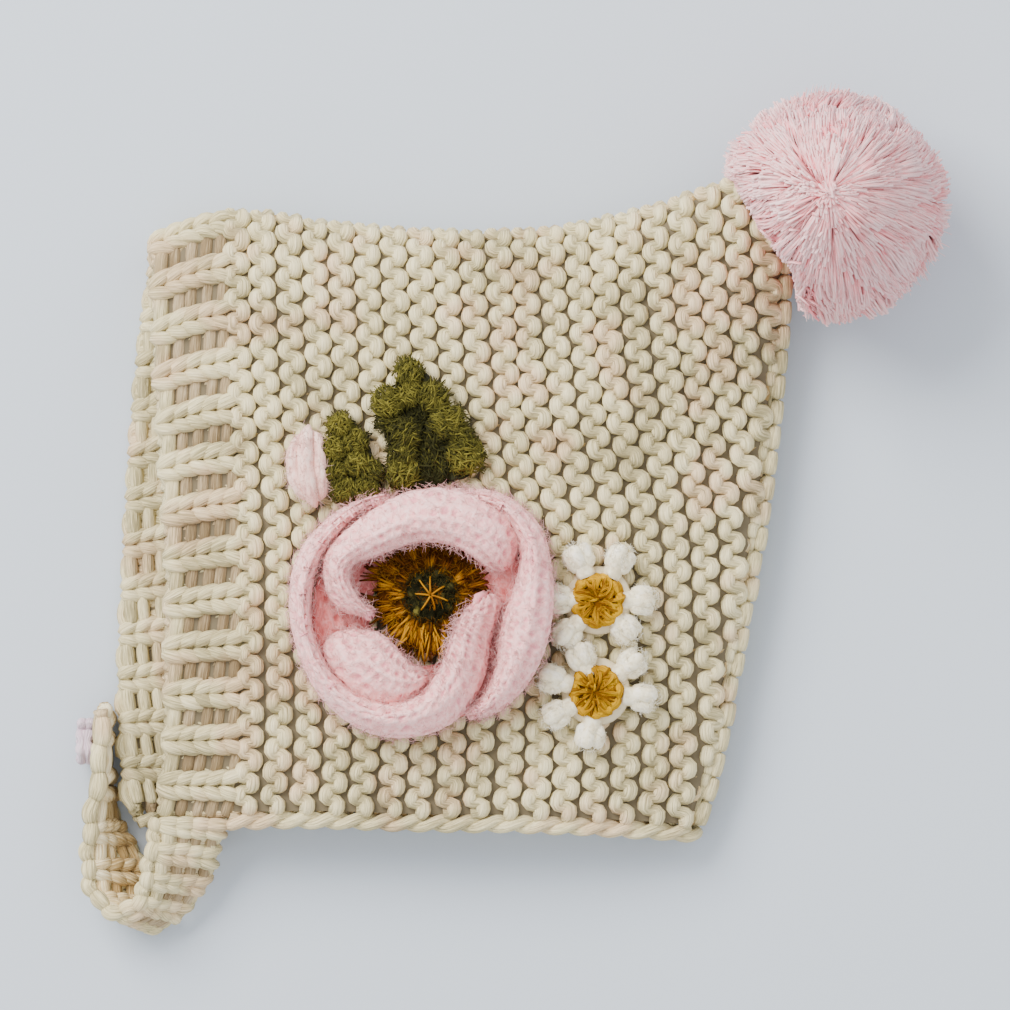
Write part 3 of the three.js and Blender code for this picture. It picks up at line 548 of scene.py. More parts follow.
brim_yarn, brim_bar_yarn, brim_inner_yarn = [], [], []
for rib in range(-RIBS_PER_LAYER - 1, RIBS_PER_LAYER):
    raised, sunk = brim_rib(rib, 1, 8 if rib < 0 else 6)
    brim_yarn += raised
    brim_bar_yarn += sunk
    if rib >= -RIBS_PER_LAYER:
        raised, sunk = brim_rib(rib, -1, 5)
        brim_inner_yarn += raised + sunk
brim_yarn.append(brim_edge())
brim_ribs = lay_yarn("brim_ribs", brim_yarn, CREAM, "brim")
brim_bars = lay_yarn("brim_bars", brim_bar_yarn, CREAM_SHADED, "brim")
brim_inside = lay_yarn("brim_inside", brim_inner_yarn, CREAM, "brim")


def brim_web_place(u, v):
    return web((1.0 + GARTER_EDGE * u) / width_at(2 * v - 1), 2 * v - 1)


brim_web = cloth_sheet("brim_web", "brim", brim_web_place, 0.5, (8, 150))

# ---- Neck edging ----
# A row of slip stitches crocheted along both neck edges: one smooth slanting stitch to each ridge,
# twisted over the next like a rope.

CORD = 3.6
EDGING_GAP = 0.45


def edging_line():
    """The edging's own line: along the near neck edge, round the back and along the far edge."""
    along = np.concatenate([np.linspace(0.135, 0.985, 35), [1.0], np.linspace(0.985, 0.02, 35)])
    around = np.repeat([-1.0, 1.0], [35, 36])
    edge = cloth(along, around)
    line = edge + unit(edge - cloth(along, around * 0.98)) * (EDGING_GAP + CORD / 2)
    line[:, 2] = np.maximum(line[:, 2], CORD / 2 + 0.15)
    return line


def along_line(line, step):
    """A line of points again at an even step, its running length and its direction."""
    run = run_along(line)
    wanted = np.linspace(0, run[-1], int(run[-1] / step) + 1)
    spots = np.stack([np.interp(wanted, run, line[:, axis]) for axis in range(3)], axis=1)
    return spots, wanted, unit(np.gradient(spots, axis=0))


def rope(line, strands, pitch, swing, thick):
    """Strands laid round a line, each turning once in a pitch."""
    spots, run, ahead = along_line(line, pitch / 12)
    side = unit(np.cross(ahead, (0, 0, 1)))
    up = np.cross(side, ahead)
    laid = []
    for k in range(strands):
        turn = 2 * pi * (run / pitch + k / strands)
        path = spots + swing * (side * np.cos(turn)[:, None] + up * np.sin(turn)[:, None])
        laid.append((path, thick * (1 + 0.06 * np.sin(turn)), 0.5))
    return laid


lay_yarn("edging_cord", rope(edging_line(), 2, 13.0, 1.0, 2.75), (CREAM[0], "cord_cream"), "neck_edging")

# ---- Chin strap ----
# The rib carried on past the near front corner as a narrow band. It turns back on itself, stands
# on its rear edge, and its free end lies outside the far corner, where it is buttoned.

STRAP_RIBS = 9
STRAP = {
    "run": [0.0, 0.08, 0.18, 0.28, 0.38, 0.46, 0.55, 0.65, 0.77, 0.88, 1.0],
    "front_x": [-84.6, -85.2, -86.6, -87.6, -90.0, -95.4, -100.2, -101.2, -100.6, -98.4, -97.9],
    "front_y": [-73.8, -78.0, -84.6, -90.0, -94.4, -95.6, -91.0, -83.8, -74.0, -62.0, -47.4],
    "front_z": [14.6, 15.2, 15.2, 14.4, 13.6, 12.6, 11.6, 11.8, 14.0, 15.0, 15.2],
    "rear_x": [-69.4, -71.4, -73.0, -76.2, -81.6, -86.8, -87.8, -89.0, -95.2, -97.2, -97.7],
    "rear_y": [-74.6, -79.4, -86.0, -91.6, -97.4, -99.0, -93.4, -85.0, -74.4, -61.6, -47.0],
    "rear_z": [14.9, 11.6, 8.0, 5.6, 3.8, 2.8, 2.6, 2.4, 2.0, 1.8, 2.0],
}


def strap_edges(run):
    row = row_at(STRAP, "run", run)
    return [points(*(row[f"{edge}_{axis}"] for axis in "xyz")) for edge in ("front", "rear")]


def strap(run, share, height=0.0):
    """Points on the strap: by its run, the share of its width from the face edge, and a height."""
    run, share, height = np.broadcast_arrays(run, share, height)
    front, rear = strap_edges(run)
    before, after = strap_edges(np.maximum(0, run - 0.01)), strap_edges(np.minimum(1, run + 0.01))
    forward = after[0] + after[1] - before[0] - before[1]
    normal = unit(np.cross(forward, rear - front))
    return front + (rear - front) * share[..., None] + normal * height[..., None]


STRAP_LENGTH = float(run_along(strap(np.linspace(0, 1, 101), 0.5))[-1])
STRAP_RIB_CENTRE = 0.14  # share of a rib's pitch where its V column lies


def strap_rib(rib, side):
    """A rib of the strap, on its outer face with side 1 or its inner with -1."""
    centre = (rib + (STRAP_RIB_CENTRE if side > 0 else STRAP_RIB_CENTRE + 0.5)) / STRAP_RIBS

    def place(first, offset, height):
        run = np.clip(centre + offset / STRAP_LENGTH, 0, 1)
        return strap(run, (first + 0.8) / 15.0, 0.9 * side * height)

    half_pitch = STRAP_LENGTH / STRAP_RIBS / 2
    return rib_strands(place, 4, 2.4, (half_pitch, 2.8), lift=(-0.4, 1.3), bar_height=0.2)


strap_yarn, strap_bar_yarn, strap_inner_yarn = [], [], []
for rib in range(STRAP_RIBS):
    raised, sunk = strap_rib(rib, 1)
    strap_yarn += raised
    strap_bar_yarn += sunk
    raised, sunk = strap_rib(rib, -1)
    for path, thick, tone in raised + sunk:
        # Painted shade: the inner face's yarn is darker the lower it lies.
        strap_inner_yarn.append((path, thick, tone - 0.15 + 0.5 * smooth((path[:, 2] - 5) / 9)))
strap_inside = lay_yarn("strap_inside", strap_inner_yarn, CREAM_INSIDE_SHADE, "chin_strap")
run = np.linspace(0, 1, 220)
wave = np.cos(2 * pi * (run * STRAP_RIBS - STRAP_RIB_CENTRE))
lobe = np.abs(np.sin(pi * (run * 2 * STRAP_RIBS + 0.22))) ** 0.6
strap_yarn.append((strap(run, 0.05 - 0.06 * lobe, 0.5 * wave), 2.5 + 1.7 * lobe, 0.5))
strap_yarn += rope(strap(np.linspace(0, 1, 60), 1.0), 2, 9.0, 0.7, 2.2)
strap_ribs = lay_yarn("strap_ribs", strap_yarn, CREAM, "chin_strap")
strap_bars = lay_yarn("strap_bars", strap_bar_yarn, CREAM_SHADED, "chin_strap")
strap_web = cloth_sheet("strap_web", "chin_strap", lambda u, v: strap(v, 0.04 + 0.92 * u), 0.6, (6, 60))

# ---- Strap button ----
# A soft round button crocheted in pale lilac wool: one long thread coiled on each face. It stands
# on its edge outside the strap's free end.

LILAC = wool("lilac_wool", "button_lilac", (0.74, 0.58, 0.66), (0.58, 0.40, 0.50), (0.84, 0.74, 0.80),
             sheen=0.3)
BUTTON = (-102.1, -55.4, 7.4)
BUTTON_RADIUS = 6.6


def button_coil(face):
    turn = np.linspace(0.3, 2 * pi * 2.1, 60)
    reach = BUTTON_RADIUS * 0.75 * (turn / turn[-1]) ** 0.8
    bumps = 0.18 * np.sin(turn * 5.5) + uneven(turn, 0.8, 0.08)
    path = BUTTON + points(face * (0.75 + bumps), reach * np.cos(turn), reach * np.sin(turn))
    return path, 2.5 + 0.5 * np.sin(turn * 5.5), 0.5


lay_yarn("button_yarn", [button_coil(-1), button_coil(1)], LILAC, "strap_button", sides=10)

# ---- Pompom ----
# Pale pink yarn wound, tied round the middle and cut: thousands of ends fan out from the tie and are
# trimmed to a ball. The peak of the bonnet is sewn into its side.

POMPOM = np.array([77.0, 73.2, 27.4])
POMPOM_RADIUS = 26.6
POMPOM_CORE = 23.4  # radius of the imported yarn
POMPOM_ROOTS, POMPOM_BEND = 22.6, 25.0  # radii where an end leaves the ball and where it bends
PEAK_EDGE = {"y": [45.0, 56.7, 62.9, 79.4], "x": [68.9, 68.6, 63.4, 53.0]}
PEAK_END, PEAK_UNDERSIDE = 80.0, 12.0  # no peak beyond this y or below this z
POMPOM_TIE = np.array([-1.9, 2.6, 0.0])  # from the ball's middle: the parting that the ends lie away from
POMPOM_ENDS = 9500
POMPOM_HAIRS = 2300
POMPOM_YARN = 0.78
PRESSED = 3.0  # an end that the peak moved further than this stands straight out from it
TUFTS = 170
PINK_ENDS = wool("pompom_wool", "yarn_pompom", (0.98, 0.44, 0.45), (0.95, 0.32, 0.36), (0.99, 0.67, 0.67),
                 sheen=0.1, lines=(0.3, 1.0), relief=0.3, patch_size=0.014, blotch=0.4)


def direction(angle, turn):
    """Directions by their angle from straight up and their turn in the plan."""
    return points(np.sin(angle) * np.cos(turn), np.sin(angle) * np.sin(turn), np.cos(angle))


def off_body(spots, room):
    """The same points, pressed aside by the peak of the bonnet until they are clear of it by room,
    and how far each of them moved. Higher up the ball leans a little over the peak."""
    edge = np.interp(spots[:, 1], PEAK_EDGE["y"], PEAK_EDGE["x"])
    edge = edge - 0.12 * np.maximum(spots[:, 2] - 27, 0)
    by_peak = (spots[:, 1] < PEAK_END) & (spots[:, 2] > PEAK_UNDERSIDE)
    moved = np.where(by_peak, np.maximum(edge + room - spots[:, 0], 0), 0)
    return spots + moved[:, None] * (1, 0, 0), moved


def pompom_strands(many, longer, thick):
    """The cut ends: each comes out of the ball, lies over away from the parting and ends blunt. The
    ones that lie together cling in tufts."""
    k = np.arange(many) + 0.5
    lift, turn = 1 - 2 * k / many, k * pi * (3 - math.sqrt(5)) + jitter(0.1, many)
    angle = np.arccos(np.clip(lift + jitter(0.02, many), -1, 1))
    comb = 0.42 * np.sin(2 * angle) * (1 + 0.4 * np.cos(turn + 0.3)) + jitter(0.13, many)
    heads = unit(jitter(1, TUFTS, 3))
    own = np.argmax(direction(angle, turn) @ heads.T, axis=1)
    tilt, extra = jitter(1.0, TUFTS, 3)[own], jitter(0.4, TUFTS)[own]
    reach = POMPOM_RADIUS + longer + extra + jitter(0.4, many)
    room = rng.uniform(0.3, 2.2, many)
    paths = []
    for u, out in ((0.0, POMPOM_ROOTS), (0.5, POMPOM_BEND), (1.0, reach[:, None])):
        way = direction(angle - comb * (1 - u), turn + 0.12 * (1 - u) * np.sin(3 * turn + 2 * angle))
        spot = way * out
        spot += 0.2 * u * (heads[own] * reach[:, None] - spot) + tilt * u**2
        parting = np.abs(way[:, 2:]) ** 1.5
        spot, moved = off_body(POMPOM + spot + POMPOM_TIE * parting, room)
        paths.append(spot)
    paths = np.stack(paths, axis=1)
    pressed = moved > PRESSED
    wall = paths[pressed, 2]
    lean = jitter(1.3, len(wall), 3) * (0.3, 1, 1)
    for k, out, share in ((0, 3.6, 1.0), (1, 1.6, 0.4)):
        paths[pressed, k] = wall + (out, 0, 0) + share * lean
    # Painted shade and light: each end is darker at its root, deep in the ball, and lightest at its tip.
    tone = np.array([0.38, 0.54, 0.76]) + jitter(0.1, many, 1)
    tone = tone + jitter(0.09, TUFTS)[own][:, None]
    return [(path, thick, tone[i]) for i, path in enumerate(paths)]


ends = pompom_strands(POMPOM_ENDS, 0.0, POMPOM_YARN * np.array([1.0, 1.05, 0.9]))
ends += pompom_strands(POMPOM_HAIRS, 0.7, np.array([0.3, 0.26, 0.15]))
lay_yarn("pompom_yarn", ends, PINK_ENDS, "pompom", sides=3)


def pompom_core():
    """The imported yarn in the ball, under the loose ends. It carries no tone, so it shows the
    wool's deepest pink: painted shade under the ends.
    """
    shape = bmesh.new()
    bmesh.ops.create_icosphere(shape, subdivisions=4, radius=1.0)
    spots = POMPOM_CORE * np.array([v.co for v in shape.verts]) + POMPOM
    return shaped_piece("pompom_core", shape, off_body(spots, 2.6)[0])


finish_piece(pompom_core(), PINK_ENDS, "pompom")

# ---- Rose petals ----
# Four crocheted bands of soft pink mohair that rise from the rose's middle, roll over and lie on one
# another. Their single crochet shows as rows of small dimples under a long nap.

RIDGE_RELIEF = 0.75
LIFT = 0.3  # what is sewn on keeps this far off the knitting
ROSE = (-21.0, -24.0)
PETAL_WALL = 1.5
CROCHET_STITCH = 2.6
CROCHET_ROW = 2.9
PETAL_STEP = 0.55  # between points along a band
ARCH_STEPS = 52  # over a band's arch
NAP_PER_MM = 17  # hairs for each millimetre of a band

# From one end of a band to the other: its direction from the rose's middle, the reach of its inner
# and outer edges, and the heights of its foot, its rolled crest and its outer lip over the cloth.
PETALS = {
    "rose_petal_upper": {
        "turn": [28, 45, 66, 88, 108, 128, 148, 166, 182],
        "inner": [19.6, 18.6, 18.0, 17.4, 16.9, 17.6, 20.0, 15.4, 9.6],
        "outer": [26.2, 30.4, 30.8, 29.6, 28.0, 27.0, 27.0, 23.6, 18.2],
        "foot": [6, 7.5, 7.5, 7.5, 7.5, 7.5, 7.5, 7.5, 7.5],
        "crest": [9.5, 13.5, 15, 15.5, 15.5, 15, 14, 12.5, 11],
        "lip": 0.4,
    },
    "rose_petal_right": {
        "turn": [84, 72, 55, 36, 18, 0, -18, -36, -54, -66],
        "inner": [26.5, 27.5, 30.0, 28.6, 23.6, 20.0, 19.6, 21.8, 24.4, 25.4],
        "outer": [29.8, 31.2, 34.4, 34.8, 32.4, 30.8, 30.2, 30.0, 29.4, 27.6],
        "foot": 2,
        "crest": [6, 7.5, 9.5, 11.5, 13.5, 14.5, 14.5, 13, 10, 7],
        "lip": [0.4, 0.4, 0.4, 0.4, 3.0, 6.6, 6.6, 2.5, 0.4, 0.4],
    },
    "rose_petal_lower": {
        "turn": [16, -4, -24, -46, -68, -90, -112, -136, -160, -184, -206, -226, -240, -254],
        "inner": [12.6, 9.4, 8.6, 9.6, 13.0, 18.6, 23.0, 25.2, 26.0, 26.6, 27.4, 27.6, 28.0, 27.4],
        "outer": [19.6, 17.9, 17.6, 21.0, 25.6, 28.8, 30.8, 31.2, 30.8, 31.6, 32.6, 31.8, 31.0, 30.0],
        "foot": [8, 8, 8, 8, 5, 3, 3, 3, 3, 3, 3, 3, 2, 2],
        "crest": [9.5, 12, 13, 13, 12.5, 12, 12, 12, 12, 12, 11, 9.5, 8, 6.5],
        "lip": 0.4,
    },
    "rose_petal_inner": {
        "turn": [-84, -100, -118, -138, -156, -168],
        "inner": [12.8, 12.4, 10.8, 10.2, 11.4, 14.6],
        "outer": [17.2, 21.4, 23.8, 25.2, 25.6, 24.2],
        "foot": 5,
        "crest": [9, 11, 12, 12, 11, 9],
        "lip": 0.4,
    },
}
MOHAIR = {"sheen": 0.1, "lines": (0.9, 0.9), "relief": 0.7, "patch_size": 0.03, "blotch": 0.3}
PINK = wool("pink_mohair", "yarn_rose", (0.98, 0.50, 0.48), (0.84, 0.34, 0.38), (0.99, 0.62, 0.60), **MOHAIR)
# A deeper pink for the throat between the petals: painted shade in the hollow round the middle.
PINK_SHADE = wool("pink_mohair_shade", "yarn_rose", (0.84, 0.30, 0.28), (0.68, 0.19, 0.18), (0.92, 0.44, 0.42),
                 **MOHAIR)
TOP_CORNER = -64.0  # the first x and y of the grid below


def cloth_top_grid():
    """Height of the near layer's stitches over a grid of the plan, 1 mm apart."""
    x, y = np.meshgrid(np.arange(TOP_CORNER, 44.0), np.arange(TOP_CORNER, 46.0), indexing="ij")
    along, down = np.full(x.shape, 0.5), np.full(x.shape, 0.5)
    for _ in range(12):
        edge, line = row_at(DOWN, "down", down), row_at(ALONG, "along", along)
        along = np.clip((x - edge["near"]) / (edge["back"] - edge["near"]), 0, 1)
        down = np.clip((line["crown"] - y) / (line["crown"] - line["neck"]), 0, 1)
    return cloth_middle(along, down, 1)[..., 2:] + WALL / 2 + RIDGE_RELIEF + LIFT


CLOTH_TOP = cloth_top_grid()


def cloth_top(x, y):
    """The same height at any points of the plan."""
    return blend(CLOTH_TOP, np.subtract(x, TOP_CORNER), np.subtract(y, TOP_CORNER))[..., 0]


def over_cloth(x, y, height):
    """Points at a height over the near layer's stitches."""
    return points(x, y, cloth_top(x, y) + height)


def from_middle(middle, reach, turn):
    """Where points lie in the plan, by their reach and direction from a middle."""
    return middle[0] + reach * np.cos(turn), middle[1] + reach * np.sin(turn)


def petal_place(table, length, run, share):
    """Points on a petal's outer face, by their run along the band and their share of the arch. Both
    ends of a band are rounded off and dip."""
    row = row_at(table, "run", run)
    turn = np.radians(row["turn"])
    end = 0.25 + 0.75 * rounded(np.minimum(run, 1 - run) * length / 4.5)
    middle = (row["inner"] + row["outer"]) / 2
    row["inner"] = middle + (row["inner"] - middle) * end
    row["outer"] = middle + (row["outer"] - middle) * end
    row["crest"] = row["lip"] + (row["crest"] - row["lip"]) * (0.5 + 0.5 * end)
    row["foot"] = np.minimum(row["foot"], row["crest"] - 1.0)

    def spot(out, height):
        reach = row["inner"] + (row["outer"] - row["inner"]) * out
        return over_cloth(*from_middle(ROSE, reach, turn), height)

    spots = np.stack([spot(0.04, row["foot"]), spot(0.0, (row["foot"] + row["crest"]) / 2),
                      spot(0.46, row["crest"]), spot(1.0, (row["crest"] + row["lip"]) / 2),
                      spot(0.94, row["lip"])], axis=0)
    step = np.clip((share * 4).astype(int), 0, 3)
    each = np.arange(len(share))
    a, b, c, d = (spots[np.clip(step + shift, 0, 4), each] for shift in (-1, 0, 1, 2))
    return cubic(b, c, (c - a) / 2, (d - b) / 2, (share * 4 - step)[:, None])


def facing(place, u, v, flip=1):
    """Points of a surface given by place(u, v), and their outward directions."""
    step = 0.004
    along = place(np.minimum(u + step, 1), v) - place(np.maximum(u - step, 0), v)
    across = place(u, np.minimum(v + step, 1)) - place(u, np.maximum(v - step, 0))
    normal = flip * np.cross(along, across)
    return place(u, v), normal / np.maximum(np.linalg.norm(normal, axis=1, keepdims=True), 1e-9)


def crochet_relief(u, v, stitches, rows):
    """Heights and tones of single crochet: a small dimple between stitches, and soft rows. The
    tones paint shade: darker in each dimple, and along the sheet's two long edges, deep in the folds."""
    row = np.round(v * rows).astype(int)
    col = np.round(u * stitches - 0.5 * (row % 2)).astype(int)
    shift = jitter(0.13, rows + 2, stitches + 3, 2)
    depth = rng.uniform(0.3, 1.0, (rows + 2, stitches + 3))
    off_u = (u * stitches - 0.5 * (row % 2) - col + shift[row, col, 0]) * CROCHET_STITCH
    off_v = (v * rows - row + shift[row, col, 1]) * CROCHET_ROW
    dimple = np.exp(-(off_u**2 + off_v**2) / 0.6) * depth[row, col]
    puff = 0.2 * np.cos(2 * pi * (v * rows - 0.5)) * np.cos(pi * (u * stitches - 0.5 * row)) ** 2
    edge = smooth(1 - v / 0.3) + smooth((v - 0.8) / 0.2)
    return puff - 1.2 * dimple, 0.64 - 0.62 * dimple - 0.42 * edge


def crochet_sheet(name, look, node, place, stitches, steps, flip=1, thickness=PETAL_WALL):
    """A crocheted sheet by place(u, v), with its stitches along and across, and a solid wall."""
    shape, u, v = grid_shape(steps)
    spots, normals = facing(place, u, v, flip)
    relief, tones = crochet_relief(u, v, *stitches)
    if flip < 0:
        bmesh.ops.reverse_faces(shape, faces=shape.faces)
    piece = shaped_piece(name, shape, spots + normals * relief[:, None], wall=(thickness, -1))
    mark_threads(piece.data, points(u * stitches[0], v * stitches[1], 0) * CROCHET_STITCH, tones)
    return finish_piece(piece, look, node)


def nap(roots, ways, length, thickness=0.12, tone=0.7):
    """Stray fibres: thin bent hairs that stand out of a surface and lean over."""
    many = len(roots)
    side = unit(np.cross(ways, jitter(1, many, 3)))
    other = np.cross(ways, side) * jitter(0.5, many, 1)
    reach = length * rng.uniform(0.5, 1.4, (many, 1))
    paths = [roots + reach * (ways * (u - 0.4 * u**2) + 0.9 * side * u + other * u**2) - 0.2 * ways
             for u in (0.0, 0.5, 1.0)]
    tones, thick = tone + jitter(0.08, many), thickness * np.array([1, 0.9, 0.5])
    return [(path, thick, shade) for path, shade in zip(np.stack(paths, axis=1), tones)]


petal_hairs = []
for name, table in PETALS.items():
    table["run"] = np.linspace(0, 1, len(table["turn"]))
    sweep = np.radians(np.abs(np.diff(table["turn"])))
    band = float((sweep * np.add(table["inner"], table["outer"])[1:] / 2).sum())
    place = partial(petal_place, table, band)
    length = run_along(place(np.linspace(0, 1, 80), np.full(80, 0.5)))[-1]
    arch = run_along(place(np.full(40, 0.5), np.linspace(0, 1, 40)))[-1]
    stitches = (int(length / CROCHET_STITCH), int(arch / CROCHET_ROW))
    flip = -1 if table["turn"][0] < table["turn"][-1] else 1
    steps = (int(length / PETAL_STEP), ARCH_STEPS)
    petal = crochet_sheet(name + "_crochet", PINK, name, place, stitches, steps, flip)
    many = int(length * NAP_PER_MM)
    roots, ways = facing(place, rng.random(many), rng.uniform(0.12, 0.95, many), flip)
    petal_hairs += nap(roots, ways, 2.2, 0.13, tone=0.62)
lay_yarn("rose_nap", petal_hairs, PINK, sides=3)


def rose_throat_place(u, v):
    """The foot of the petals, where they are crocheted together: a shallow bowl round the middle."""
    return over_cloth(*from_middle(ROSE, 12.5 + 13.5 * v, 2 * pi * u), 0.6 + 3.4 * v**2)


rose_throat = crochet_sheet("rose_throat", PINK_SHADE, "rose_petal_lower", rose_throat_place, (40, 5),
                            (150, 24), flip=-1, thickness=0.8)

# ---- Rose middle ----
# A flat crochet round in shaded ochre mohair: three rounds of spread stitches, with loose golden ends
# below, and a dark olive eye with a star of ochre stitches sewn over it.

OCHRE = wool("ochre_mohair", "yarn_ochre", (0.245, 0.088, 0.003), (0.085, 0.025, 0.001), (0.50, 0.24, 0.008),
             sheen=0.0, lines=(0.3, 1.2), relief=0.6, patch_size=0.006, blotch=0.7)
OLIVE_DARK = wool("dark_olive_mohair", "yarn_dark_olive", (0.042, 0.038, 0.009), (0.014, 0.014, 0.004),
                  (0.13, 0.11, 0.02), sheen=0.0, patch_size=0.004, blotch=0.9)
MIDDLE = (-18.9, -19.6)
MIDDLE_FLOOR = float(cloth_top(*MIDDLE)) + 0.4
UP = np.array([0.0, 0.0, 1.0])


def placed(middle, reach, turn, height):
    """Points at a height, by their reach and direction from a middle."""
    return points(*from_middle(middle, reach, turn), height)


def crochet_round(floor, count, inner, outer, rise, tone, start=0.0, strands=9, pull=0.0):
    """A round of stitches, each a tuft of fine strands that fan outwards from the middle. Pull draws
    the round over to the left."""
    laid = []
    u = np.linspace(0, 1, 5)
    for k in range(count):
        turn = start + 2 * pi * k / count + jitter(0.05)
        lift, shade = jitter(0.2), jitter(0.1)
        for hand in np.linspace(-1, 1, strands):
            reach = inner + (outer - inner) * (u * rng.uniform(0.8, 1.05)) + jitter(0.25)
            way = turn + hand * pi / count * (0.25 + 0.6 * u) + jitter(0.03)
            reach = reach * (1 - pull * np.cos(turn))
            height = floor + lift + rise * (1 - 0.45 * hand**2) * np.sin(pi * (0.12 + 0.75 * u))
            path = placed(MIDDLE, reach, way, height + jitter(0.15))
            # Painted light and shade: each strand is lighter where it arches up and darker at the tuft's
            # sides.
            shades = tone + shade + 0.25 * (np.sin(pi * u) - 0.6) - 0.15 * hand**2 + jitter(0.1)
            laid.append((path, 0.62 * rng.uniform(0.7, 1.2) * (1 - 0.45 * u**2), shades))
    return laid


def dome(name, look, node, middle, floor, radius, height):
    """A low crocheted dome: a spun profile, closed underneath. It carries no tone, so it shows its
    wool's deepest colour: painted shade under the stitches that lie over it.
    """
    shape = bmesh.new()
    rise = np.linspace(0, pi / 2, 7)[:-1]
    profile = [(0, 0), *zip(radius * np.cos(rise), height * np.sin(rise)), (0, height)]
    spots = [shape.verts.new((x, 0, z)) for x, z in profile]
    edges = [shape.edges.new(pair) for pair in zip(spots, spots[1:])]
    bmesh.ops.spin(shape, geom=spots + edges, cent=(0, 0, 0), axis=(0, 0, 1), dvec=(0, 0, 0),
                   angle=2 * pi, steps=24, use_merge=True)
    bmesh.ops.remove_doubles(shape, verts=shape.verts, dist=1e-4)
    bmesh.ops.recalc_face_normals(shape, faces=shape.faces)
    piece = shaped_piece(name, shape, np.array([v.co for v in shape.verts]) + (*middle, floor))
    return finish_piece(piece, look, node)


def disc(many, radius):
    """Random places spread evenly over a disc, by their reach and direction."""
    turn = rng.uniform(0, 2 * pi, many)
    return radius * np.sqrt(rng.random(many)), turn


dome("rose_middle_pad", OCHRE, "rose_center", MIDDLE, MIDDLE_FLOOR, 13.0, 3.4)
# Each lower, outer round is given a deeper tone: painted shade.
middle_yarn = crochet_round(MIDDLE_FLOOR + 2.4, 12, 5.6, 10.2, 1.7, 0.42)
middle_yarn += crochet_round(MIDDLE_FLOOR + 1.6, 18, 8.6, 14.2, 1.7, 0.38, start=0.2)
middle_yarn += crochet_round(MIDDLE_FLOOR + 1.3, 18, 11.2, 15.6, 0.9, 0.30, start=0.1, strands=7, pull=0.13)
u = np.linspace(0, 1, 5)
for turn in np.radians(np.linspace(-140, -66, 34)):
    way = turn + jitter(0.06)
    reach = rng.uniform(6.8, 11.0) + rng.uniform(4.5, 6.5) * u
    way = way + jitter(0.12) * u
    height = MIDDLE_FLOOR + 3.3 + 1.2 * np.sin(pi * u) - 1.2 * u + jitter(0.25)
    path = placed(MIDDLE, reach, way, height)
    middle_yarn.append((path, rng.uniform(0.45, 0.75) * (1 - 0.4 * u), 0.74 + jitter(0.2)))
turn, reach = rng.uniform(0, 2 * pi, 900), rng.uniform(5.5, 13.6, 900)
roots = placed(MIDDLE, reach, turn, MIDDLE_FLOOR + 3.6 - 0.1 * (reach - 5.5))
middle_yarn += nap(roots, placed((0, 0), 0.5, turn, 0.87), 1.7, 0.14, tone=0.55)
lay_yarn("rose_middle", middle_yarn, OCHRE, "rose_center", sides=4)

EYE_FLOOR = MIDDLE_FLOOR + 3.6
dome("rose_eye_pad", OLIVE_DARK, "rose_eye", MIDDLE, EYE_FLOOR - 0.8, 6.2, 2.0)
eye_yarn = []
u = np.linspace(-1, 1, 5)
for k in range(10):
    turn, far = (2 * pi * k / 3, 2.0) if k < 3 else (2 * pi * (k + 0.4) / 7, 4.9)
    puff = from_middle(MIDDLE, far, turn) + jitter(0.2, 2)
    way = turn + pi / 2 + jitter(0.4)
    path = placed(puff, 0.7 * u, way, EYE_FLOOR + 1.5 - 0.05 * far**2 - 0.3 * u**2)
    eye_yarn.append((path, 2.9 * np.sqrt(1.05 - u**4), 0.4 + jitter(0.1)))
reach, turn = disc(600, 7.0)
roots = placed(MIDDLE, reach, turn, EYE_FLOOR + 2.5 - 0.04 * reach**2)
lay_yarn("rose_eye_fuzz", nap(roots, UP, 1.1, 0.2, tone=0.55), OLIVE_DARK, "rose_eye", sides=3)
lay_yarn("rose_eye_yarn", eye_yarn, OLIVE_DARK, "rose_eye", sides=6)
star = []
u = np.linspace(0, 1, 6)
for turn in np.radians([95, 40, -10, -62, -118, 172, 128]):
    reach, bend = 0.2 + (4.0 + jitter(0.6)) * u, jitter(0.16) * u
    height = EYE_FLOOR + 2.9 + 0.5 * np.sin(pi * (0.2 + 0.7 * u)) - 0.5 * u
    path = placed(MIDDLE, reach, turn + bend, height)
    star.append((path, 0.5 - 0.15 * u, 0.66 + jitter(0.1)))
roots = placed(MIDDLE, *disc(90, 2.8), EYE_FLOOR + 2.4)
star += nap(roots, UP, 1.0, 0.2, tone=0.3)
lay_yarn("rose_star", star, OCHRE)

# ---- Leaves ----
# Two leaves in olive mohair: a flat crocheted base with fat clusters of stitches standing on it, each
# a fan of soft strands. The base's near-black colour is painted shade in the hollows between them.

OLIVE = wool("olive_mohair", "yarn_olive", (0.098, 0.089, 0.014), (0.025, 0.025, 0.006), (0.24, 0.21, 0.034),
             sheen=0.0, lines=(0.3, 1.2), relief=0.6, patch_size=0.008, blotch=0.6)
# Nearly black olive for the base: painted shade in the hollows between the clusters.
OLIVE_SHADED_BASE = wool("olive_mohair_shaded_base", "yarn_olive", (0.03, 0.03, 0.008), (0.012, 0.012, 0.004),
                  (0.05, 0.05, 0.014))
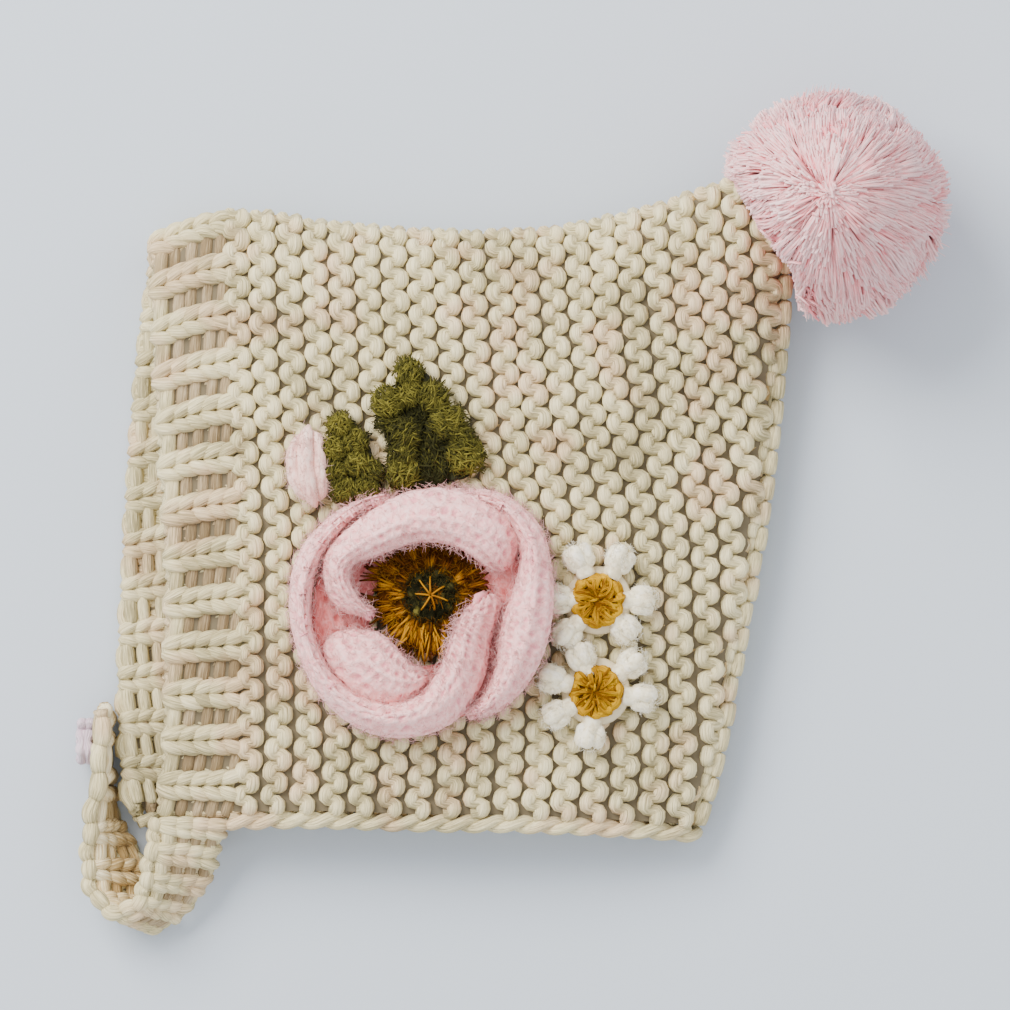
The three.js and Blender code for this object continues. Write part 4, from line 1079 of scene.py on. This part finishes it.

# Half widths left and right of the vein, from the foot, 0, to the tip, 1, and the clusters: where
# each stands, its radius, its height and how light it is, which is partly painted shade: the low
# clusters in the hollows are darkest.
LEAVES = {
    "leaf_large": {
        "foot": (-17.6, 6.9), "tip": (-24.4, 36.6),
        "rows": {"up": [0, 0.16, 0.3, 0.44, 0.56, 0.68, 0.84, 1],
                 "left": [7.6, 9.0, 8.0, 9.6, 8.6, 8.8, 4.2, 0.9],
                 "right": [8.4, 12.4, 11.6, 9.8, 8.0, 7.0, 4.2, 0.9]},
        "clusters": [
            (-24.2, 33.6, 3.9, 4.4, 0.52), (-29.2, 26.4, 4.4, 4.8, 0.46), (-23.8, 28.6, 3.8, 4.6, 0.44),
            (-18.4, 27.8, 4.3, 4.8, 0.44), (-14.8, 21.8, 4.9, 5.0, 0.42), (-25.2, 19.0, 4.7, 5.0, 0.34),
            (-22.0, 23.8, 2.8, 2.4, 0.05), (-10.6, 13.8, 5.0, 4.8, 0.56), (-25.6, 13.8, 4.2, 4.4, 0.30),
            (-18.8, 17.2, 3.6, 2.6, 0.08), (-25.8, 9.8, 4.6, 4.2, 0.46), (-17.8, 11.2, 4.8, 2.6, 0.05),
            (-11.8, 18.2, 3.6, 4.2, 0.48), (-29.8, 21.6, 2.8, 3.0, 0.24)],
    },
    "leaf_small": {
        "foot": (-36.6, 3.2), "tip": (-40.2, 23.4),
        "rows": {"up": [0, 0.2, 0.42, 0.62, 0.8, 1],
                 "left": [4.8, 6.4, 6.4, 5.2, 3.4, 1.0],
                 "right": [4.6, 6.6, 5.8, 5.2, 4.2, 1.0]},
        "clusters": [
            (-40.6, 20.8, 3.5, 4.4, 0.50), (-42.0, 15.4, 3.7, 4.6, 0.46), (-37.0, 17.0, 3.7, 4.6, 0.46),
            (-41.8, 9.8, 3.6, 4.4, 0.38), (-36.4, 11.8, 3.7, 4.8, 0.44), (-33.2, 9.8, 3.5, 4.0, 0.40),
            (-39.6, 5.4, 3.8, 4.4, 0.42), (-34.6, 5.4, 3.9, 4.2, 0.42)],
    },
}


def leaf_place(leaf, u, v):
    row = row_at(leaf["rows"], "up", u)
    foot, vein = leaf["foot"], np.subtract(leaf["tip"], leaf["foot"])
    right = np.array([vein[1], -vein[0]]) / np.hypot(*vein)
    side = 2 * v - 1
    across = side * np.where(side < 0, row["left"], row["right"])
    x = foot[0] + vein[0] * u + right[0] * across
    y = foot[1] + vein[1] * u + right[1] * across
    return over_cloth(x, y, 1.6 - 0.8 * side**4)


def cluster_strands(x, y, radius, height, light, vein):
    """A puff of short fine strands over a low dome, most of them running away from the vein, and
    its stray fibres."""
    many = int(46 * radius)
    u = np.linspace(0, 1, 4)
    spread, angle = radius * np.sqrt(rng.random((many, 1))) * 0.9, rng.uniform(0, 2 * pi, (many, 1))
    heading = math.atan2(y - vein[1], x - vein[0]) + jitter(0.7, many, 1)
    reach = rng.uniform(0.35, 0.8, (many, 1)) * radius
    heading = heading + jitter(0.5, many, 1) * u
    px, py = from_middle(from_middle((x, y), spread, angle), reach * (u - 0.5), heading)
    share = np.hypot(px - x, py - y) / radius
    rise = np.sqrt(np.maximum(0.02, 1 - np.minimum(share, 1) ** 2.2))
    arch = 0.7 * np.sin(pi * (0.1 + 0.8 * u))
    paths = over_cloth(px, py, 0.4 + (height - 1.2) * rise + arch + jitter(0.3, many, 1))
    thick = rng.uniform(0.28, 0.52, (many, 1)) * (1 - 0.4 * u)
    # Painted light: each strand is lighter the higher it lies on its cluster's dome.
    tones = light - 0.2 + 0.3 * rise + jitter(0.12, many, 1)
    reach, turn = disc(int(16 * radius), radius)
    roots = over_cloth(*from_middle((x, y), reach, turn), height * np.sqrt(1 - (reach / radius) ** 2 * 0.9))
    ways = unit(placed((0, 0), reach / radius, turn, 0.8))
    return list(zip(paths, thick, tones)) + nap(roots, ways, 1.6, 0.12, tone=light)


for name, leaf in LEAVES.items():
    base = crochet_sheet(name + "_base", OLIVE_SHADED_BASE, name, partial(leaf_place, leaf), (10, 6), (60, 40),
                         flip=-1, thickness=0.5)
    leaf_yarn = []
    vein = np.mean([leaf["foot"], leaf["tip"]], axis=0)
    for cluster in leaf["clusters"]:
        leaf_yarn += cluster_strands(*cluster, vein)
    lay_yarn(name + "_yarn", leaf_yarn, OLIVE, name, sides=4)

# ---- Bud ----
# A small closed bud in pale lilac pink beside the small leaf: three fat strands laid in a crescent.

BUD_PINK = wool("bud_mohair", "yarn_lilac", (0.91, 0.55, 0.47), (0.73, 0.39, 0.35), (0.96, 0.71, 0.63),
                sheen=0.1, lines=(0.3, 1.0), relief=0.6, patch_size=0.006, blotch=0.5)
BUD = (-47.2, 11.2)


def turned(middle, run, side, turn):
    """Where points lie in the plan, by how far they run from a middle in a direction, and to its
    left."""
    cos, sin = math.cos(turn), math.sin(turn)
    return middle[0] + run * cos - side * sin, middle[1] + run * sin + side * cos


def puff_hairs(many, rise):
    """Random directions all round, more of them upwards."""
    return unit(jitter(1, many, 3) + rise * UP)


bud_yarn, bud_fuzz = [], []
u = np.linspace(0, 1, 14)
slim = np.sqrt(np.clip(1 - (2 * u - 1) ** 4, 0.08, 1))
for offset, height, thick in ((-2.3, 2.2, 3.9), (0.2, 3.6, 4.2), (2.4, 2.3, 3.6)):
    run = (u - 0.5) * (19.5 - 1.4 * abs(offset))
    across = offset * slim + (1.3 + 0.35 * offset) * (1 - (2 * u - 1) ** 2)
    path = over_cloth(*turned(BUD, run, across, math.radians(95)), height * slim + uneven(u, 0.15, 0.15))
    bud_yarn.append((path, thick * slim * (1 + 0.07 * np.sin(u * 22)), 0.55))
    roots = path[rng.integers(1, 13, 200)]
    ways = puff_hairs(200, 0.8)
    bud_fuzz += nap(roots + ways * thick / 2.1, ways, 1.9, 0.12, tone=0.6)
lay_yarn("bud_yarn", bud_yarn, BUD_PINK, "bud", sides=10)
lay_yarn("bud_fuzz", bud_fuzz, BUD_PINK, "bud", sides=3)

# ---- Daisies ----
# Two small daisies: each of six bobbles of off-white wool round a puckered mustard button of crochet.

WHITE = wool("white_mohair", "yarn_white", (0.92, 0.84, 0.61), (0.70, 0.60, 0.40), (0.97, 0.92, 0.77),
             sheen=0.1, lines=(0.5, 0.8), relief=0.5, patch_size=0.005, blotch=0.4)
MUSTARD = wool("mustard_wool", "yarn_mustard", (0.40, 0.188, 0.0012), (0.15, 0.053, 0.001),
               (0.61, 0.335, 0.003), sheen=0.0, lines=(0.3, 1.8), relief=0.8, patch_size=0.004, blotch=0.6)

# The middle of each daisy, and the direction and reach of its petals.
DAISIES = {
    "daisy_upper": ((20.9, -20.9), [(114, 11.4), (62, 11.4), (0, 10.8), (-46, 9.8), (-132, 11.0),
                                    (178, 9.4)]),
    "daisy_lower": ((20.5, -42.7), [(112, 9.4), (38, 11.2), (-8, 11.6), (-97, 10.9), (-150, 11.2),
                                    (164, 11.2)]),
}
DRAWN_IN = 44  # stitches drawn in to a daisy's middle


def bobble(middle, turn):
    """One petal: a puff of three fat loops side by side, over a short stem from the daisy's middle."""
    strands = []
    u = np.linspace(-1, 1, 9)
    slim = np.sqrt(np.maximum(0.04, 1 - np.abs(u) ** 3.5))
    for across, size in ((-2.05, 3.6), (2.05, 3.6), (jitter(0.4), 4.0)):
        high = 3.0 if abs(across) < 1.5 else 2.2
        run = 0.1 + (2.9 + jitter(0.15)) * u - 0.12 * across**2
        side = across * (0.85 + 0.15 * u) + jitter(0.15)
        rise = high * (1 - 0.4 * u**2) + jitter(0.1)
        path = over_cloth(*turned(middle, run, side, turn), rise)
        strands.append((path, size * slim * (1 + 0.05 * np.sin(6 * u + across)), 0.55 + jitter(0.05)))
    stem = turned(middle, np.linspace(-5.2, -1.0, 5), 0, turn)
    strands.append((over_cloth(*stem, 1.8), 4.6, 0.42))
    ways = puff_hairs(200, 0.6)
    roots = points(*turned(middle, 0.2, 0, turn), cloth_top(*middle) + 2.2) + ways * (3.4, 3.4, 2.4)
    return strands, nap(roots, ways, 1.2, 0.13, tone=0.75)


def daisy_middle_strands(middle, floor):
    """The mustard button: stitches drawn in to a sunk middle, over a puffed rim worked round twice."""
    strands = []
    u = np.linspace(0, 1, 8)
    for turn in (rng.uniform(-0.4, 0.4, DRAWN_IN) + np.arange(DRAWN_IN)) * 2 * pi / DRAWN_IN:
        reach = rng.uniform(0.3, 1.8) + 4.6 * np.sin(u * pi / 2) ** 1.2
        height = floor + 3.6 + 1.0 * np.sin(pi * u**0.85) - 1.5 * u**4 + jitter(0.22)
        path = placed(middle, reach, turn + u * jitter(0.4), height)
        # Painted shade: the drawn-in stitches are darker towards the sunk middle.
        strands.append((path, 0.5 + 0.6 * u, 0.24 + 0.4 * smooth(u * 1.3) + jitter(0.14)))
    run = np.linspace(-1.3, 1.3, 5)
    for _ in range(30):
        far, turn, way = 4.4 * math.sqrt(rng.random()), rng.uniform(0, 6.3), rng.uniform(0, 6.3)
        spots = turned(from_middle(middle, far, turn), run, -0.2 * run**2, way)
        path = points(*spots, floor + 4.7 - 0.02 * far**2 - 0.4 * run**2)
        strands.append((path, 0.75 - 0.2 * np.abs(run), 0.42 + jitter(0.18)))
    for rim, high, start in ((5.2, 3.1, 0.3), (5.5, 1.6, 1.7)):
        around = start + np.linspace(0, 2 * pi, 50)
        wave = 0.18 * np.sin(11 * around + start) + uneven(around, 0.5, 0.1)
        path = placed(middle, rim + wave, around, floor + high + 0.2 * np.cos(11 * around))
        strands.append((path, 2.3 + 0.3 * np.sin(11 * around), 0.62 + uneven(around, 0.6, 0.1)))
    reach, turn = disc(160, 6.2)
    roots = placed(middle, reach, turn, floor + 4.9 - 0.03 * reach**2)
    return strands, nap(roots, placed((0, 0), 0.6, turn, 0.8), 1.0, 0.11, tone=0.6)


for name, (middle, petals) in DAISIES.items():
    petal_yarn, petal_fuzz = [], []
    for turn, reach in petals:
        way = math.radians(turn)
        puff, fuzz = bobble(from_middle(middle, reach, way), way)
        petal_yarn += puff
        petal_fuzz += fuzz
    floor = float(cloth_top(*middle))
    lay_yarn(name + "_bobbles", petal_yarn, WHITE, name + "_petals")
    lay_yarn(name + "_petal_fuzz", petal_fuzz, WHITE, name + "_petals", sides=3)
    dome(name + "_backing", WHITE, name + "_petals", middle, floor, 8.3, 2.6)
    dome(name + "_pad", MUSTARD, name + "_center", middle, floor + 1.0, 5.6, 3.2)
    button, fuzz = daisy_middle_strands(middle, floor)
    lay_yarn(name + "_middle", button, MUSTARD, name + "_center")
    lay_yarn(name + "_middle_fuzz", fuzz, MUSTARD, name + "_center", sides=3)

# ---- Floor, light and camera ----
# A plain pale sheet under the bonnet, one broad soft light from the upper left, and a camera
# looking straight down.

shape = bmesh.new()
bmesh.ops.create_grid(shape, x_segments=1, y_segments=1, size=3000)
floor = shaped_piece("floor", shape, np.array([v.co for v in shape.verts]))
floor.location.z = -0.0005
floor.data.materials.append(new_material("floor_sheet", {"Base Color": (0.530, 0.589, 0.662, 1),
                                                         "Roughness": 0.8})[0])

world = bpy.data.worlds.new("studio")
world.use_nodes = True
background = world.node_tree.nodes["Background"]
background.inputs["Color"].default_value = (0.97, 0.98, 1.0, 1)
background.inputs["Strength"].default_value = 1.44
bpy.context.scene.world = world

window = bpy.data.lights.new("window", "AREA")
window.shape, window.size, window.energy, window.color = "SQUARE", 0.9, 42.5, (1.0, 0.97, 0.93)
window_object = put("window", window)
window_object.location = (-0.75, 0.8, 1.05)
window_object.rotation_mode = "QUATERNION"
window_object.rotation_quaternion = (-Vector(window_object.location)).to_track_quat("-Z", "Y")

VIEW_WIDTH = 0.2424  # across the view, at the height of the cloth
VIEW_DISTANCE = 2.2
camera = bpy.data.cameras.new("camera")
camera.sensor_width = 36
camera.lens = camera.sensor_width * VIEW_DISTANCE / VIEW_WIDTH
camera.clip_end = 20
camera_object = put("camera", camera)
camera_object.location = (-0.0012, 0.0019, VIEW_DISTANCE + 0.014)
bpy.context.scene.camera = camera_object
